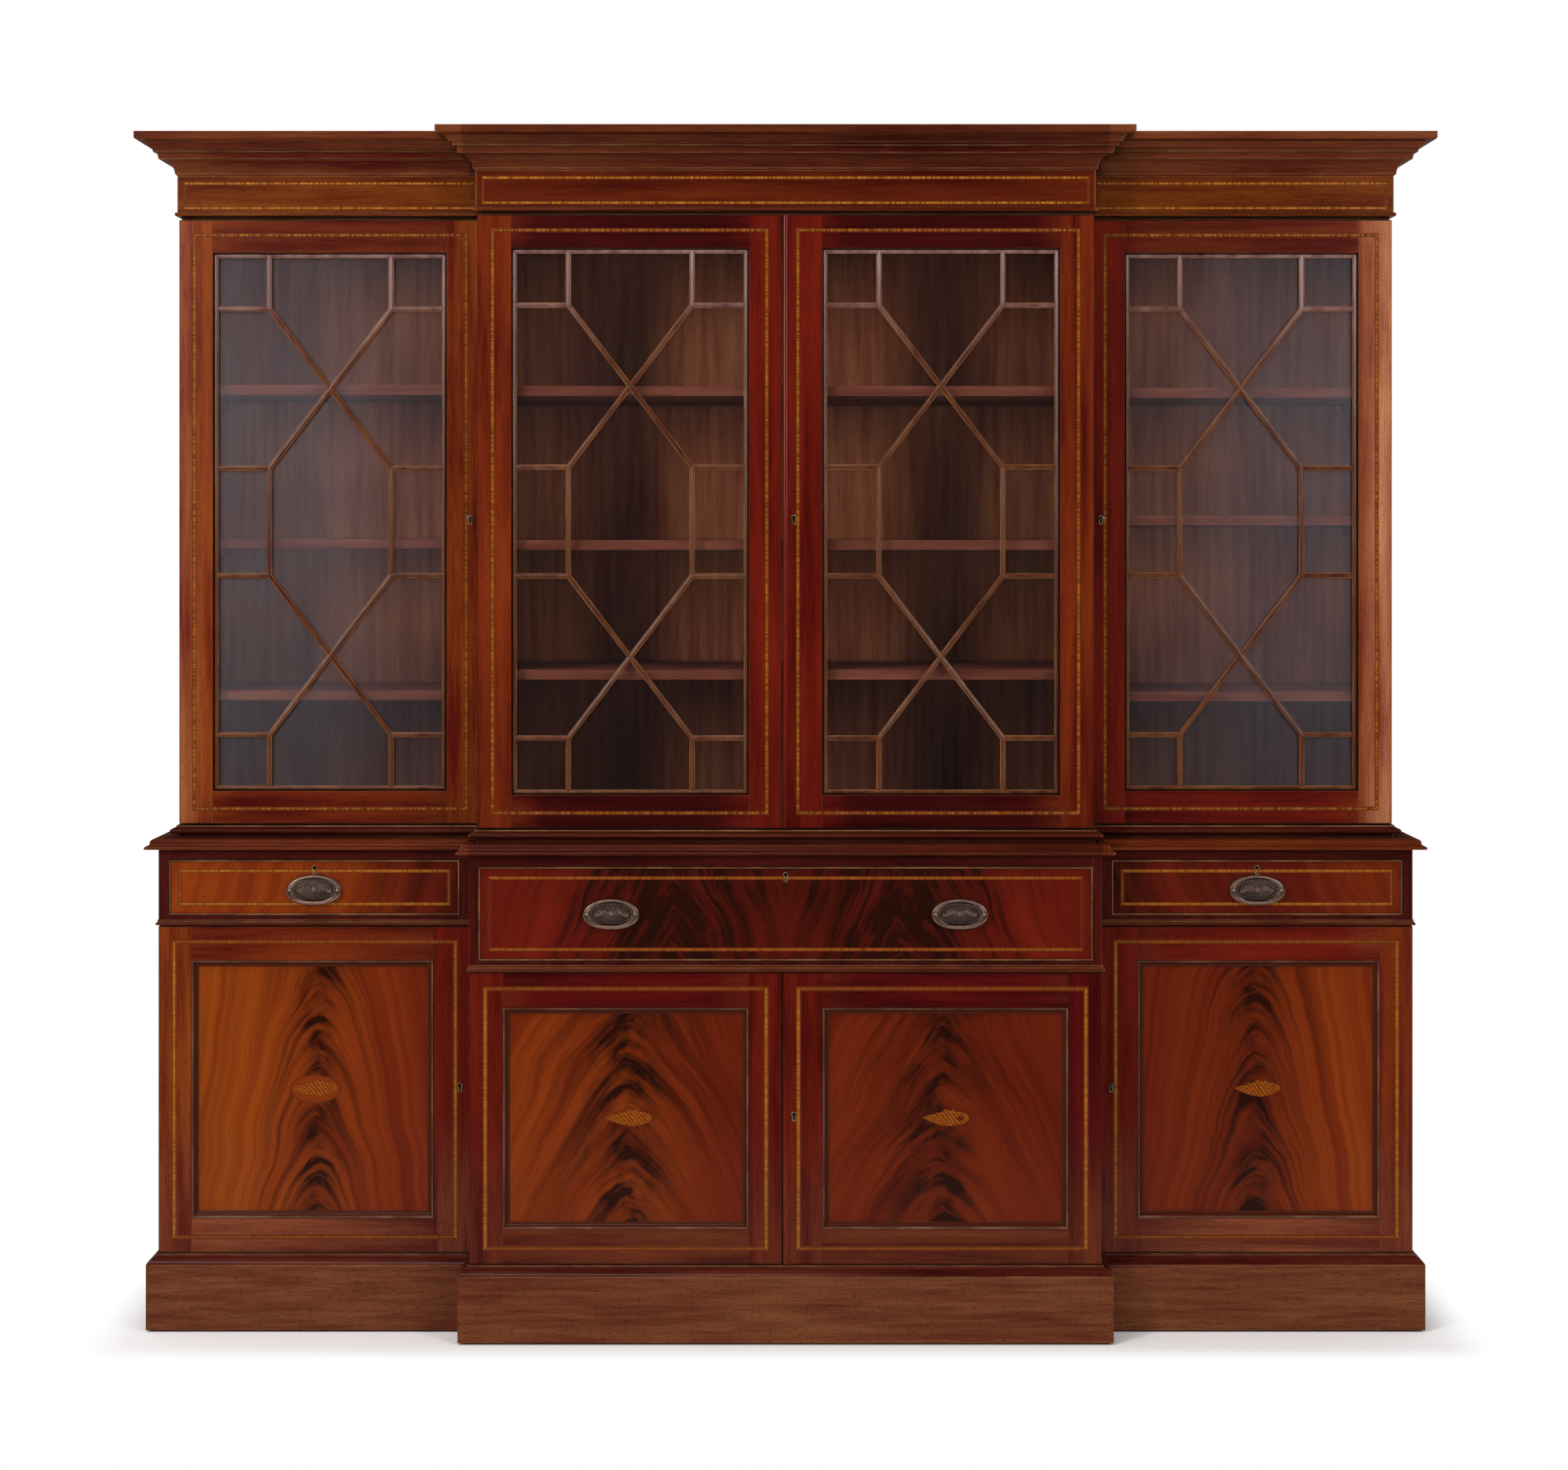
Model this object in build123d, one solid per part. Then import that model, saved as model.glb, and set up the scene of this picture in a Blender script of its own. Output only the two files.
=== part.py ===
from build123d import *
import math
import os

# Breakfront bookcase: a glazed upper stage on a cupboard base, its centre standing forward of two wings.
# Frame: X to the right, Y to the back, Z up, origin on the floor under the middle of the whole box.
# All lengths are in millimetres.

# Whole case
upper_width = 2306.0
centre_width = 1154.0
wing_depth = 330.0
breakfront_depth = 90.0
base_step_side = 32.0
base_step_front = 35.0
centre_step_side = 11.0
side_thickness = 20.0
partition_thickness = 15.5
back_thickness = 10.0
case_board = 20.0
case_gap = 0.5
overrun = 160.0
seat_clearance = 0.3

# Heights of the base, from the floor up
runner_height = 4.0
plinth_height = 122.0
cap_height = 18.5
base_case_height = 764.5
wing_top_rail = 20.0
wing_drawer_height = 106.5
wing_mid_rail = 18.0
centre_top_rail = 23.0
centre_drawer_height = 177.0
centre_mid_rail = 20.6
ledge_thickness = 18.0

# Heights of the glazed stage
upper_case_height = 1181.0
waist_height = 23.0
glazed_reveal_bottom = 3.0
glazed_reveal_top = 7.0
frieze_height = 76.3
cornice_height = 76.7

# Plinth and its cap moulding
plinth_out = 20.0
plinth_board = 30.0
runner_setback = 9.0
plinth_back_rail = 22.0
cap_seat = 30.0
cap_bead_height = 3.5
cap_bead_out = 2.8
cap_lip = 1.0
cap_fall_share = 0.62

# Top ledge of the base
ledge_out = 23.3
ledge_flat = 6.6
ledge_nose = 5.6

# Waist moulding round the foot of the glazed stage
waist_board_height = 8.5
waist_board_out = 1.5
waist_out = 15.5
waist_fillet_out = 4.5
waist_fillet_height = 1.5
waist_nose_height = 8.5

# Mouldings under the drawers
mid_out = 5.0
wing_mid_height = 10.4
centre_mid_height = 13.6
mid_fillet_out = 1.8

# Frieze and its necking bead
frieze_out = 3.0
frieze_board = 40.0
neck_height = 7.0
neck_out = 4.5
dust_cover = 9.0
frieze_back_rail = 22.0

# Cornice, bottom to top
cornice_seat = 30.0
cornice_foot_out = 4.0
cornice_foot_height = 3.5
cornice_cove_out = 20.5
cornice_cove_height = 29.2
cornice_fascia_out = 30.0
cornice_fascia_lean = 2.0
cornice_fascia_height = 12.7
cornice_fillet_out = 39.0
cornice_fillet_height = 5.8
cornice_ogee_start = 41.0
cornice_ogee_out = 55.0
cornice_ogee_height = 13.3
cornice_ovolo_out = 63.5
cornice_ovolo_height = 4.1
cornice_out = 68.5
cornice_step = 0.8

# Doors of both stages
door_thickness = 22.0
door_gap = 1.0
wing_door_clearance = 2.0
meeting_bead_width = 11.0
meeting_bead_out = 4.0
meeting_gap = 1.2

# Glazed doors
glazed_stile = 63.5
glazed_lock_stile = 65.5
glazed_meeting_stile = 63.0
glazed_rail = 62.0
lattice_width = 9.6
lattice_base = 4.5
lattice_bead_radius = 3.3
lattice_back_depth = 12.0
glass_thickness = 3.0
corner_square = 106.5
middle_pane_height = 204.0

# Cupboard doors
panel_stile = 62.0
panel_lock_stile = 70.9
panel_meeting_stile = 63.1
panel_rail = 65.0
panel_thickness = 8.0
panel_depth = 10.0
panel_moulding = 12.0
panel_moulding_proud = 1.2
panel_moulding_fillet = 2.6
stop_strip_width = 5.5

# Butt hinges
hinge_radius = 2.8
hinge_pin_radius = 1.2
hinge_pin_clearance = 0.08
hinge_leaf_width = 15.0
hinge_leaf_thickness = 1.6
hinge_height = 60.0
hinge_knuckle_gap = 0.3
hinge_relief = 0.5
hinge_end_share = 0.13
hinge_middle_share = 0.5

# Locks, keyhole plates and keys
keyhole_inset = 21.0
keyhole_rise = 8.0
keyhole_radius = 3.2
keyhole_slot = 3.2
keyhole_drop = 11.5
escutcheon_rim = 1.7
escutcheon_thickness = 2.5
escutcheon_proud = 0.4
lock_width = 32.0
lock_height = 46.0
lock_rise = 12.0
lock_depth = 12.0
lock_well_radius = 8.5
lock_wall = 1.5
key_shank_radius = 1.9
key_shank_clearance = 0.08
key_bit_clearance = 0.5
key_reach = 15.0
key_collar_radius = 3.0
key_collar_length = 1.6
key_bow_long = 8.5
key_bow_short = 6.5
key_bow_wall = 2.4
key_bow_thickness = 2.6
key_bit_length = 5.0
key_bit_reach = 7.0
key_bit_thickness = 1.8
key_end_gap = 1.2
drawer_keyhole_drop = 15.0

# Drawers
drawer_front = 20.0
drawer_clearance = 1.0
frame_stile_wing = 18.4
frame_stile_inner = 26.7
cockbead_width = 3.4
cockbead_out = 1.8
drawer_side = 10.0
drawer_bottom = 6.0
drawer_bottom_rise = 5.0
drawer_top_gap = 7.0
drawer_side_inset = 4.0
drawer_stop_gap = 14.0
guide_height = 18.0
guide_clearance = 0.5
writing_board = 20.0
pigeonhole_depth = 165.0
pigeonhole_board = 8.0
pigeonhole_top_gap = 12.0
pigeonhole_count = 3

# Pivots and quadrant stays of the centre drawer's fall
pivot_depth = 4.0
pivot_rise = 20.0
pivot_eye_radius = 2.8
pivot_pin_radius = 1.4
pivot_pin_clearance = 0.08
pivot_plate_thickness = 2.5
pivot_plate_length = 60.0
pivot_slot_gap = 0.6
pivot_skin = 1.0
fall_swing_gap = 0.3
quadrant_radius = 118.0
quadrant_width = 10.0
quadrant_thickness = 3.0
quadrant_gap = 1.0
quadrant_tail_gap = 1.5

# Oval drawer handles
wing_handle_drop = 4.0
plate_long = 52.0
plate_short = 27.5
plate_thickness = 1.5
dome_long = 42.0
dome_short = 18.5
dome_rise = 2.2
post_spread = 90.0
post_radius = 2.6
post_length = 12.6
bail_stand = 9.5
bail_radius = 2.4
bail_gap = 0.35
bail_drop = 24.0
bail_corner = 14.0
bail_pin_radius = 1.5
bail_pin_clearance = 0.08
bail_pin_tail = 0.4
fall_handle_spread = 648.0

# Shelves and their bearers
shelf_thickness = 18.5
shelf_setback = 10.0
shelf_end_gap = 0.3
bearer_width = 12.0
bearer_height = 15.0
bearer_setback = 40.0
wing_left_shelf_share = (0.226, 0.480, 0.738)
centre_shelf_share = (0.264, 0.478, 0.732)
wing_right_shelf_share = (0.224, 0.519, 0.733)
cupboard_shelf_share = 0.5
back_board_count = 14
base_panel_count = 6

# Levels worked out from the heights
plinth_top = runner_height + plinth_height
base_floor = plinth_top + cap_height
base_top = base_floor + base_case_height
ledge_top = base_top + ledge_thickness
upper_top = ledge_top + upper_case_height
frieze_top = upper_top + frieze_height
wing_cupboard_top = base_top - wing_top_rail - wing_drawer_height - wing_mid_rail
centre_cupboard_top = base_top - centre_top_rail - centre_drawer_height - centre_mid_rail
wing_drawer_floor = wing_cupboard_top + wing_mid_rail
centre_drawer_floor = centre_cupboard_top + centre_mid_rail
glazed_bottom = ledge_top + waist_height + glazed_reveal_bottom
glazed_top = upper_top - glazed_reveal_top
glazed_height = glazed_top - glazed_bottom

# Planes and half widths worked out from the plan
overall_depth = wing_depth + breakfront_depth + frieze_out + cornice_out
back_y = overall_depth / 2
inside_back = back_y - back_thickness
wing_face = back_y - wing_depth
centre_face = wing_face - breakfront_depth
base_wing_face = wing_face - base_step_front
base_centre_face = centre_face - base_step_front
case_inset = door_thickness + case_gap
upper_half = upper_width / 2
centre_half = centre_width / 2
base_half = upper_half + base_step_side
base_centre_half = centre_half + centre_step_side


# A board between limits on each axis
def board(x_span, y_span, z_span):
    spans = (x_span, y_span, z_span)
    middle = [(low + high) / 2 for low, high in spans]
    size = [high - low for low, high in spans]
    return Pos(*middle) * Box(*size)


# The same piece on the other side of the bookcase
def other_side(piece):
    return mirror(piece, Plane.YZ)


# A closed outline from points and arcs: an arc is given as (through, end)
def outline(start, steps):
    edges = []
    here = start
    for step in steps:
        if len(step) == 1:
            edges.append(Line(here, step[0]))
        else:
            edges.append(ThreePointArc(here, step[0], step[1]))
        here = step[-1]
    edges.append(Line(here, start))
    return make_face(Wire(edges))


# Plan of the outside: back left, round the front with its breakfront, to back right
def breakfront_plan(half, inner_half, wing_y, centre_y):
    left = [(-half, back_y), (-half, wing_y), (-inner_half, wing_y), (-inner_half, centre_y)]
    right = [(-x, y) for x, y in reversed(left)]
    return left + right


# Lengths of moulding along a path, cut to a mitre where two meet.
# The profile's x points to the right of the path, its y points up.
def mitred_runs(path, profile, base_z=0, closed=False):
    count = len(path) if closed else len(path) - 1
    points = [Vector(x, y, base_z) for x, y in path]
    steps = [(points[(i + 1) % len(points)] - points[i]) for i in range(count)]
    ways = [step.normalized() for step in steps]
    runs = []
    for i in range(count):
        has_start = closed or i > 0
        has_end = closed or i < count - 1
        lead = overrun if has_start else 0
        tail = overrun if has_end else 0
        outward = Vector(ways[i].Y, -ways[i].X, 0)
        plane = Plane(origin=points[i] - ways[i] * lead, x_dir=outward, z_dir=outward.cross(Vector(0, 0, 1)))
        run = extrude(plane * profile, amount=steps[i].length + lead + tail, dir=ways[i])
        if has_start:
            cut = Plane(origin=points[i], z_dir=ways[i - 1] + ways[i])
            run = split(run, bisect_by=cut, keep=Keep.TOP)
        if has_end:
            cut = Plane(origin=points[(i + 1) % len(points)], z_dir=ways[i] + ways[(i + 1) % len(ways)])
            run = split(run, bisect_by=cut, keep=Keep.BOTTOM)
        runs.append(run)
    return runs


# Solids of several pieces, as one node
def node(name, pieces):
    solids = []
    for piece in pieces:
        solids.extend(piece.solids())
    export_step(Compound(children=solids), os.path.join("parts", name + ".step"))


# Plinth boards with the low runner strip under them
def plinth_boards():
    plan = breakfront_plan(base_half, base_centre_half, base_wing_face, base_centre_face)
    inner = plinth_out - plinth_board
    face = outline((inner, 0), [[(plinth_out, 0)], [(plinth_out, plinth_height)], [(inner, plinth_height)]])
    strip_out = plinth_out - runner_setback
    strip = outline((inner, 0), [[(strip_out, 0)], [(strip_out, runner_height)], [(inner, runner_height)]])
    half = base_half + inner
    rail = board((-half, half), (back_y - plinth_back_rail, back_y), (0, plinth_top))
    return mitred_runs(plan, face, runner_height) + mitred_runs(plan, strip) + [rail]


# Cap moulding on the plinth: a bead over an ovolo
def plinth_cap():
    plan = breakfront_plan(base_half, base_centre_half, base_wing_face, base_centre_face)
    under_bead = cap_height - cap_bead_height
    fall = plinth_out - cap_bead_out
    profile = outline((-cap_seat, 0), [
        [(plinth_out, 0)],
        [(plinth_out, cap_lip)],
        [(cap_bead_out + fall * cap_fall_share, under_bead * cap_fall_share), (cap_bead_out, under_bead)],
        [(cap_bead_out, cap_height)],
        [(-cap_seat, cap_height)],
    ])
    return mitred_runs(plan, profile, plinth_top)


# Moulded edge and boards of the ledge on top of the base
def base_ledge():
    plan = breakfront_plan(base_half, base_centre_half, base_wing_face, base_centre_face)
    top = ledge_thickness
    nose_top = ledge_nose
    shoulder = (ledge_out + ledge_flat) / 2
    waist_z = (top + nose_top) / 2
    profile = outline((0, 0), [
        [(ledge_out - cap_lip, 0)],
        [(ledge_out, nose_top / 2), (ledge_out - cap_lip * 2, nose_top)],
        [(shoulder + cap_lip, nose_top + cap_lip * 2), (shoulder - cap_lip, waist_z + cap_lip)],
        [(shoulder - cap_lip * 2, top - cap_lip * 2), (ledge_flat, top)],
        [(0, top)],
    ])
    z_span = (base_top, ledge_top)
    wing = board((-base_half, -base_centre_half), (base_wing_face, back_y), z_span)
    centre = board((-base_centre_half, base_centre_half), (base_centre_face, back_y), z_span)
    return [wing, other_side(wing), centre] + mitred_runs(plan, profile, base_top)


# Waist moulding, a nosed ogee over a narrow board
def waist_moulding():
    plan = breakfront_plan(upper_half, centre_half, wing_face, centre_face)
    nose_top = waist_board_height + waist_nose_height
    mid_out_x = (waist_out + waist_fillet_out) / 2
    nose_back = waist_out - waist_fillet_height * 2
    fillet_z = waist_height - waist_fillet_height
    profile = outline((0, 0), [
        [(waist_board_out, 0)],
        [(waist_board_out, waist_board_height)],
        [(mid_out_x, waist_board_height)],
        [(waist_out, (waist_board_height + nose_top) / 2), (nose_back, nose_top)],
        [(mid_out_x - waist_fillet_height, nose_top + waist_fillet_height), (waist_fillet_out, fillet_z)],
        [(waist_fillet_out, waist_height)],
        [(0, waist_height)],
    ])
    return mitred_runs(plan, profile, ledge_top)


# Profile of the moulding under a drawer
def mid_profile(height):
    return outline((0, 0), [
        [(mid_fillet_out, 0)],
        [(mid_out, height * 0.28), (mid_fillet_out * 2, height * 0.52)],
        [(mid_fillet_out, height * 0.62)],
        [(mid_fillet_out, height)],
        [(0, height)],
    ])


# Mouldings under the wing drawers and under the centre drawer
def mid_mouldings():
    wing_path = [(-base_half, back_y), (-base_half, base_wing_face), (-base_centre_half, base_wing_face)]
    wing = mitred_runs(wing_path, mid_profile(wing_mid_height), wing_cupboard_top)
    centre_path = [
        (-base_centre_half, base_wing_face),
        (-base_centre_half, base_centre_face),
        (base_centre_half, base_centre_face),
        (base_centre_half, base_wing_face),
    ]
    centre = mitred_runs(centre_path, mid_profile(centre_mid_height), centre_cupboard_top)
    return wing + [other_side(run) for run in wing] + centre


# Frieze boards and the necking bead at their foot
def frieze():
    half = upper_half + frieze_out
    plan = breakfront_plan(half, centre_half + frieze_out, wing_face - frieze_out, centre_face - frieze_out)
    boards = outline((-frieze_board, 0), [[(0, 0)], [(0, frieze_height)], [(-frieze_board, frieze_height)]])
    shoulder = neck_out / 2
    bead = outline((0, 0), [
        [(shoulder, 0)],
        [(neck_out, neck_height / 2), (shoulder, neck_height)],
        [(0, neck_height)],
    ])
    reach = half - frieze_board
    rail = board((-reach, reach), (back_y - frieze_back_rail, back_y), (upper_top, frieze_top))
    return mitred_runs(plan, boards, upper_top) + mitred_runs(plan, bead, upper_top) + [rail]


# Cornice profile: foot, cove, fascia, fillet, ogee, ovolo and top fillet
def cornice_profile():
    cove_top = cornice_cove_height
    fascia_top = cove_top + cornice_fascia_height
    fascia_face = cornice_fascia_out + cornice_fascia_lean
    fillet_top = fascia_top + cornice_fillet_height
    ogee_top = fillet_top + cornice_ogee_height
    ogee_mid = ((cornice_ogee_start + cornice_ogee_out) / 2, (fillet_top + ogee_top) / 2)
    ovolo_top = ogee_top + cornice_step + cornice_ovolo_height
    cove_run = cornice_cove_out - cornice_foot_out
    cove_rise = cove_top - cornice_foot_height
    ogee_run = cornice_ogee_out - cornice_ogee_start
    return outline((-cornice_seat, 0), [
        [(0, 0)],
        [(cornice_foot_out, cornice_foot_height)],
        [
            (cornice_foot_out + cove_run * 0.3, cornice_foot_height + cove_rise * 0.6),
            (cornice_cove_out, cove_top),
        ],
        [(cornice_fascia_out, cove_top)],
        [(fascia_face, fascia_top)],
        [(cornice_fillet_out, fascia_top)],
        [(cornice_fillet_out, fillet_top)],
        [(cornice_ogee_start, fillet_top)],
        [(cornice_ogee_start + ogee_run * 0.36, fillet_top + cornice_ogee_height * 0.2), ogee_mid],
        [
            (cornice_ogee_start + ogee_run * 0.64, fillet_top + cornice_ogee_height * 0.8),
            (cornice_ogee_out, ogee_top),
        ],
        [(cornice_ovolo_out, ogee_top + cornice_step)],
        [
            (cornice_out - cornice_step * 2, ogee_top + cornice_step * 2),
            (cornice_out, ovolo_top),
        ],
        [(cornice_out, cornice_height)],
        [(-cornice_seat, cornice_height)],
    ])


# The cornice, seven mitred lengths round the breakfront
def cornice():
    half = upper_half + frieze_out
    plan = breakfront_plan(half, centre_half + frieze_out, wing_face - frieze_out, centre_face - frieze_out)
    return mitred_runs(plan, cornice_profile(), frieze_top)


# Bearers under the shelves along one upright board
def bearers(x_span, front, shelf_tops):
    y_span = (front + bearer_setback, inside_back)
    return [
        board(x_span, y_span, (top - shelf_thickness - bearer_height, top - shelf_thickness))
        for top in shelf_tops
    ]


# Heights of the shelves' top faces in a stage
def shelf_tops(shares, low, high):
    return [low + (high - low) * share for share in shares]


upper_inside = (ledge_top + case_board, upper_top - case_board)
upper_sets = {
    "left": shelf_tops(wing_left_shelf_share, *upper_inside),
    "centre": shelf_tops(centre_shelf_share, *upper_inside),
    "right": shelf_tops(wing_right_shelf_share, *upper_inside),
}
cupboard_floor = base_floor + case_board
wing_cupboard_shelf = shelf_tops((cupboard_shelf_share,), cupboard_floor, wing_cupboard_top)
centre_cupboard_shelf = shelf_tops((cupboard_shelf_share,), cupboard_floor, centre_cupboard_top)
wing_front = wing_face + case_inset
centre_front = centre_face + case_inset
base_wing_front = base_wing_face + case_inset
base_centre_front = base_centre_face + case_inset
upper_wing_inner = upper_half - side_thickness
upper_centre_inner = centre_half - side_thickness
base_wing_inner = base_half - side_thickness
base_centre_inner = base_centre_half - partition_thickness


# Sides and partitions of the glazed stage
def upper_sides():
    z_span = (ledge_top + case_board, upper_top)
    pieces = []
    for sign, tops in ((-1, upper_sets["left"]), (1, upper_sets["right"])):
        outer = sorted((sign * upper_wing_inner, sign * upper_half))
        inner = sorted((sign * upper_centre_inner, sign * centre_half))
        pieces.append(board(outer, (wing_front, back_y), z_span))
        pieces.append(board(inner, (centre_front, inside_back), (z_span[0], upper_top - case_board)))
        outer_bearer = sorted((sign * (upper_wing_inner - bearer_width), sign * upper_wing_inner))
        wing_bearer = sorted((sign * centre_half, sign * (centre_half + bearer_width)))
        centre_bearer = sorted((sign * (upper_centre_inner - bearer_width), sign * upper_centre_inner))
        pieces += bearers(outer_bearer, wing_front, tops)
        pieces += bearers(wing_bearer, wing_front, tops)
        pieces += bearers(centre_bearer, centre_front, upper_sets["centre"])
    return pieces


# Bottom, top and dust cover of the glazed stage
def upper_cross_boards():
    bottom_z = (ledge_top, ledge_top + case_board)
    top_z = (upper_top - case_board, upper_top)
    cover_z = (frieze_top - dust_cover, frieze_top)
    inset = frieze_board - frieze_out
    wing_bottom = board((-upper_half, -centre_half), (wing_face, back_y), bottom_z)
    centre_bottom = board((-centre_half, centre_half), (centre_face, back_y), bottom_z)
    wing_top = board((-upper_wing_inner, -centre_half), (wing_front, back_y), top_z)
    centre_top = board((-centre_half, centre_half), (centre_front, back_y), top_z)
    split_x = centre_half - inset
    cover_back = back_y - frieze_back_rail
    wing_cover = board((-upper_half + inset, -split_x), (wing_face + inset, cover_back), cover_z)
    centre_cover = board((-split_x, split_x), (centre_face + inset, cover_back), cover_z)
    wings = [wing_bottom, wing_top, wing_cover]
    return wings + [other_side(piece) for piece in wings] + [centre_bottom, centre_top, centre_cover]


# Boards side by side across the back, out to the same reach on both sides
def upright_boards(reach, count, z_span):
    width = 2 * reach / count
    edges = [-reach + i * width for i in range(count + 1)]
    return [board(span, (inside_back, back_y), z_span) for span in zip(edges, edges[1:])]


# Upright matched boards closing the back of the glazed stage
def upper_back_boards():
    z_span = (ledge_top + case_board, upper_top - case_board)
    return upright_boards(upper_wing_inner, back_board_count, z_span)


# Back panels of the base
def base_back_panels():
    return upright_boards(base_wing_inner, base_panel_count, (cupboard_floor, base_top))


# Adjustable shelves of the glazed stage and one fixed shelf in each cupboard
def shelves():
    pieces = []
    wing_x = (centre_half + shelf_end_gap, upper_wing_inner - shelf_end_gap)
    wing_y = (wing_front + shelf_setback, inside_back)
    for top in upper_sets["right"]:
        pieces.append(board(wing_x, wing_y, (top - shelf_thickness, top)))
    for top in upper_sets["left"]:
        pieces.append(other_side(board(wing_x, wing_y, (top - shelf_thickness, top))))
    reach = upper_centre_inner - shelf_end_gap
    centre_y = (centre_front + shelf_setback, inside_back)
    for top in upper_sets["centre"]:
        pieces.append(board((-reach, reach), centre_y, (top - shelf_thickness, top)))
    cup_x = (base_centre_half + shelf_end_gap, base_wing_inner - shelf_end_gap)
    for top in wing_cupboard_shelf:
        shelf = board(cup_x, (base_wing_front + shelf_setback, inside_back), (top - shelf_thickness, top))
        pieces += [shelf, other_side(shelf)]
    reach = base_centre_inner - shelf_end_gap
    for top in centre_cupboard_shelf:
        y_span = (base_centre_front + shelf_setback, inside_back)
        pieces.append(board((-reach, reach), y_span, (top - shelf_thickness, top)))
    return pieces


# Sides and partitions of the base, with the cupboard shelf bearers
def base_sides():
    z_span = (cupboard_floor, base_top)
    outer = board((base_wing_inner, base_half), (base_wing_front, back_y), z_span)
    inner = board((base_centre_inner, base_centre_half), (base_centre_front, inside_back), z_span)
    pieces = [outer, inner]
    outer_x = (base_wing_inner - bearer_width, base_wing_inner)
    inner_x = (base_centre_half, base_centre_half + bearer_width)
    centre_x = (base_centre_inner - bearer_width, base_centre_inner)
    pieces += bearers(outer_x, base_wing_front, wing_cupboard_shelf)
    pieces += bearers(inner_x, base_wing_front, wing_cupboard_shelf)
    pieces += bearers(centre_x, base_centre_front, centre_cupboard_shelf)
    return pieces + [other_side(piece) for piece in pieces]


# Floor of the base, dust boards under the drawers and drawer guides
def base_cross_boards():
    floor_z = (base_floor, cupboard_floor)
    wing_floor = board((base_centre_half, base_half), (base_wing_front, back_y), floor_z)
    centre_floor = board((-base_centre_half, base_centre_half), (base_centre_front, back_y), floor_z)
    dust_x = (base_centre_half, base_wing_inner)
    wing_dust = board(dust_x, (base_wing_front, inside_back), (wing_cupboard_top, wing_drawer_floor))
    reach = base_centre_inner
    dust_z = (centre_cupboard_top, centre_drawer_floor)
    centre_dust = board((-reach, reach), (base_centre_front, inside_back), dust_z)
    guide_z = (wing_drawer_floor, wing_drawer_floor + guide_height)
    guide_x = (base_centre_half, wing_drawer_span[0] + drawer_side_inset - guide_clearance)
    guide = board(guide_x, (base_wing_front, inside_back), guide_z)
    pieces = [wing_floor, wing_dust, guide]
    return pieces + [other_side(piece) for piece in pieces] + [centre_floor, centre_dust]


# Limits of the drawer openings, right wing and centre
wing_drawer_span = (base_centre_half + frame_stile_inner, base_half - frame_stile_wing)
centre_drawer_reach = base_centre_inner


# Stiles and rails round the drawers, level with the drawer fronts
def base_face_frame():
    y_span = (base_wing_face, base_wing_front)
    z_span = (wing_cupboard_top, base_top)
    opening = (wing_drawer_floor, wing_drawer_floor + wing_drawer_height)
    strip_x = (base_centre_half, base_centre_half + stop_strip_width)
    wing = [
        board((base_centre_half, wing_drawer_span[0]), y_span, z_span),
        board((wing_drawer_span[1], base_half), y_span, z_span),
        board(wing_drawer_span, y_span, (wing_cupboard_top, opening[0])),
        board(wing_drawer_span, y_span, (opening[1], base_top)),
        board(strip_x, y_span, (base_floor, wing_cupboard_top)),
    ]
    y_span = (base_centre_face, base_centre_front)
    z_span = (centre_cupboard_top, base_top)
    reach = centre_drawer_reach
    opening = (centre_drawer_floor, centre_drawer_floor + centre_drawer_height)
    centre = [
        board((-base_centre_half, -reach), y_span, z_span),
        board((reach, base_centre_half), y_span, z_span),
        board((-reach, reach), y_span, (centre_cupboard_top, opening[0])),
        board((-reach, reach), y_span, (opening[1], base_top)),
    ]
    return wing + [other_side(piece) for piece in wing] + centre


# Keyhole outline: a round head over a slot, grown by a rim
def keyhole(rim):
    head = Circle(keyhole_radius + rim)
    width = keyhole_slot + 2 * rim
    drop = keyhole_drop + rim
    slot = Pos(0, -drop / 2) * Rectangle(width, drop)
    return head + slot


# A flat shape on a front face, pushed back into the wood: x to the right, y up
def into_face(shape, centre, face, start, depth):
    plane = Plane(origin=(centre[0], face + start, centre[1]), x_dir=(1, 0, 0), z_dir=(0, -1, 0))
    return extrude(plane * shape, amount=depth, dir=(0, 1, 0))


# Cuts for the keyhole plate, the keyway and the lock let into the back of a front
def lock_cuts(centre, face, thickness):
    plate = into_face(keyhole(escutcheon_rim), centre, face, -overrun, overrun + escutcheon_thickness)
    way = into_face(keyhole(0), centre, face, -overrun, overrun + thickness)
    pocket = lock_block(centre, face, thickness)
    return [plate, way, pocket]


# Outside of a lock case
def lock_block(centre, face, thickness):
    return board(
        (centre[0] - lock_width / 2, centre[0] + lock_width / 2),
        (face + thickness - lock_depth, face + thickness),
        (centre[1] + lock_rise - lock_height, centre[1] + lock_rise),
    )


# Hole in a lock case that the key's shank turns in, with a slot for its bit
def lock_mouth():
    slot = Pos(0, -key_bit_reach / 2) * Rectangle(key_bit_thickness + 2 * key_bit_clearance, key_bit_reach)
    return Circle(key_shank_radius + key_shank_clearance) + slot


# Brass keyhole plate and lock case with its key well
def lock_and_plate(centre, face, thickness):
    rim = keyhole(escutcheon_rim) - keyhole(0)
    plate = into_face(rim, centre, face, -escutcheon_proud, escutcheon_proud + escutcheon_thickness)
    mouth = into_face(lock_mouth(), centre, face, thickness - lock_depth, lock_wall)
    well_start = thickness - lock_depth + lock_wall
    well = into_face(Circle(lock_well_radius), centre, face, well_start, lock_depth - 2 * lock_wall)
    return [plate, lock_block(centre, face, thickness) - well - mouth]


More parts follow.
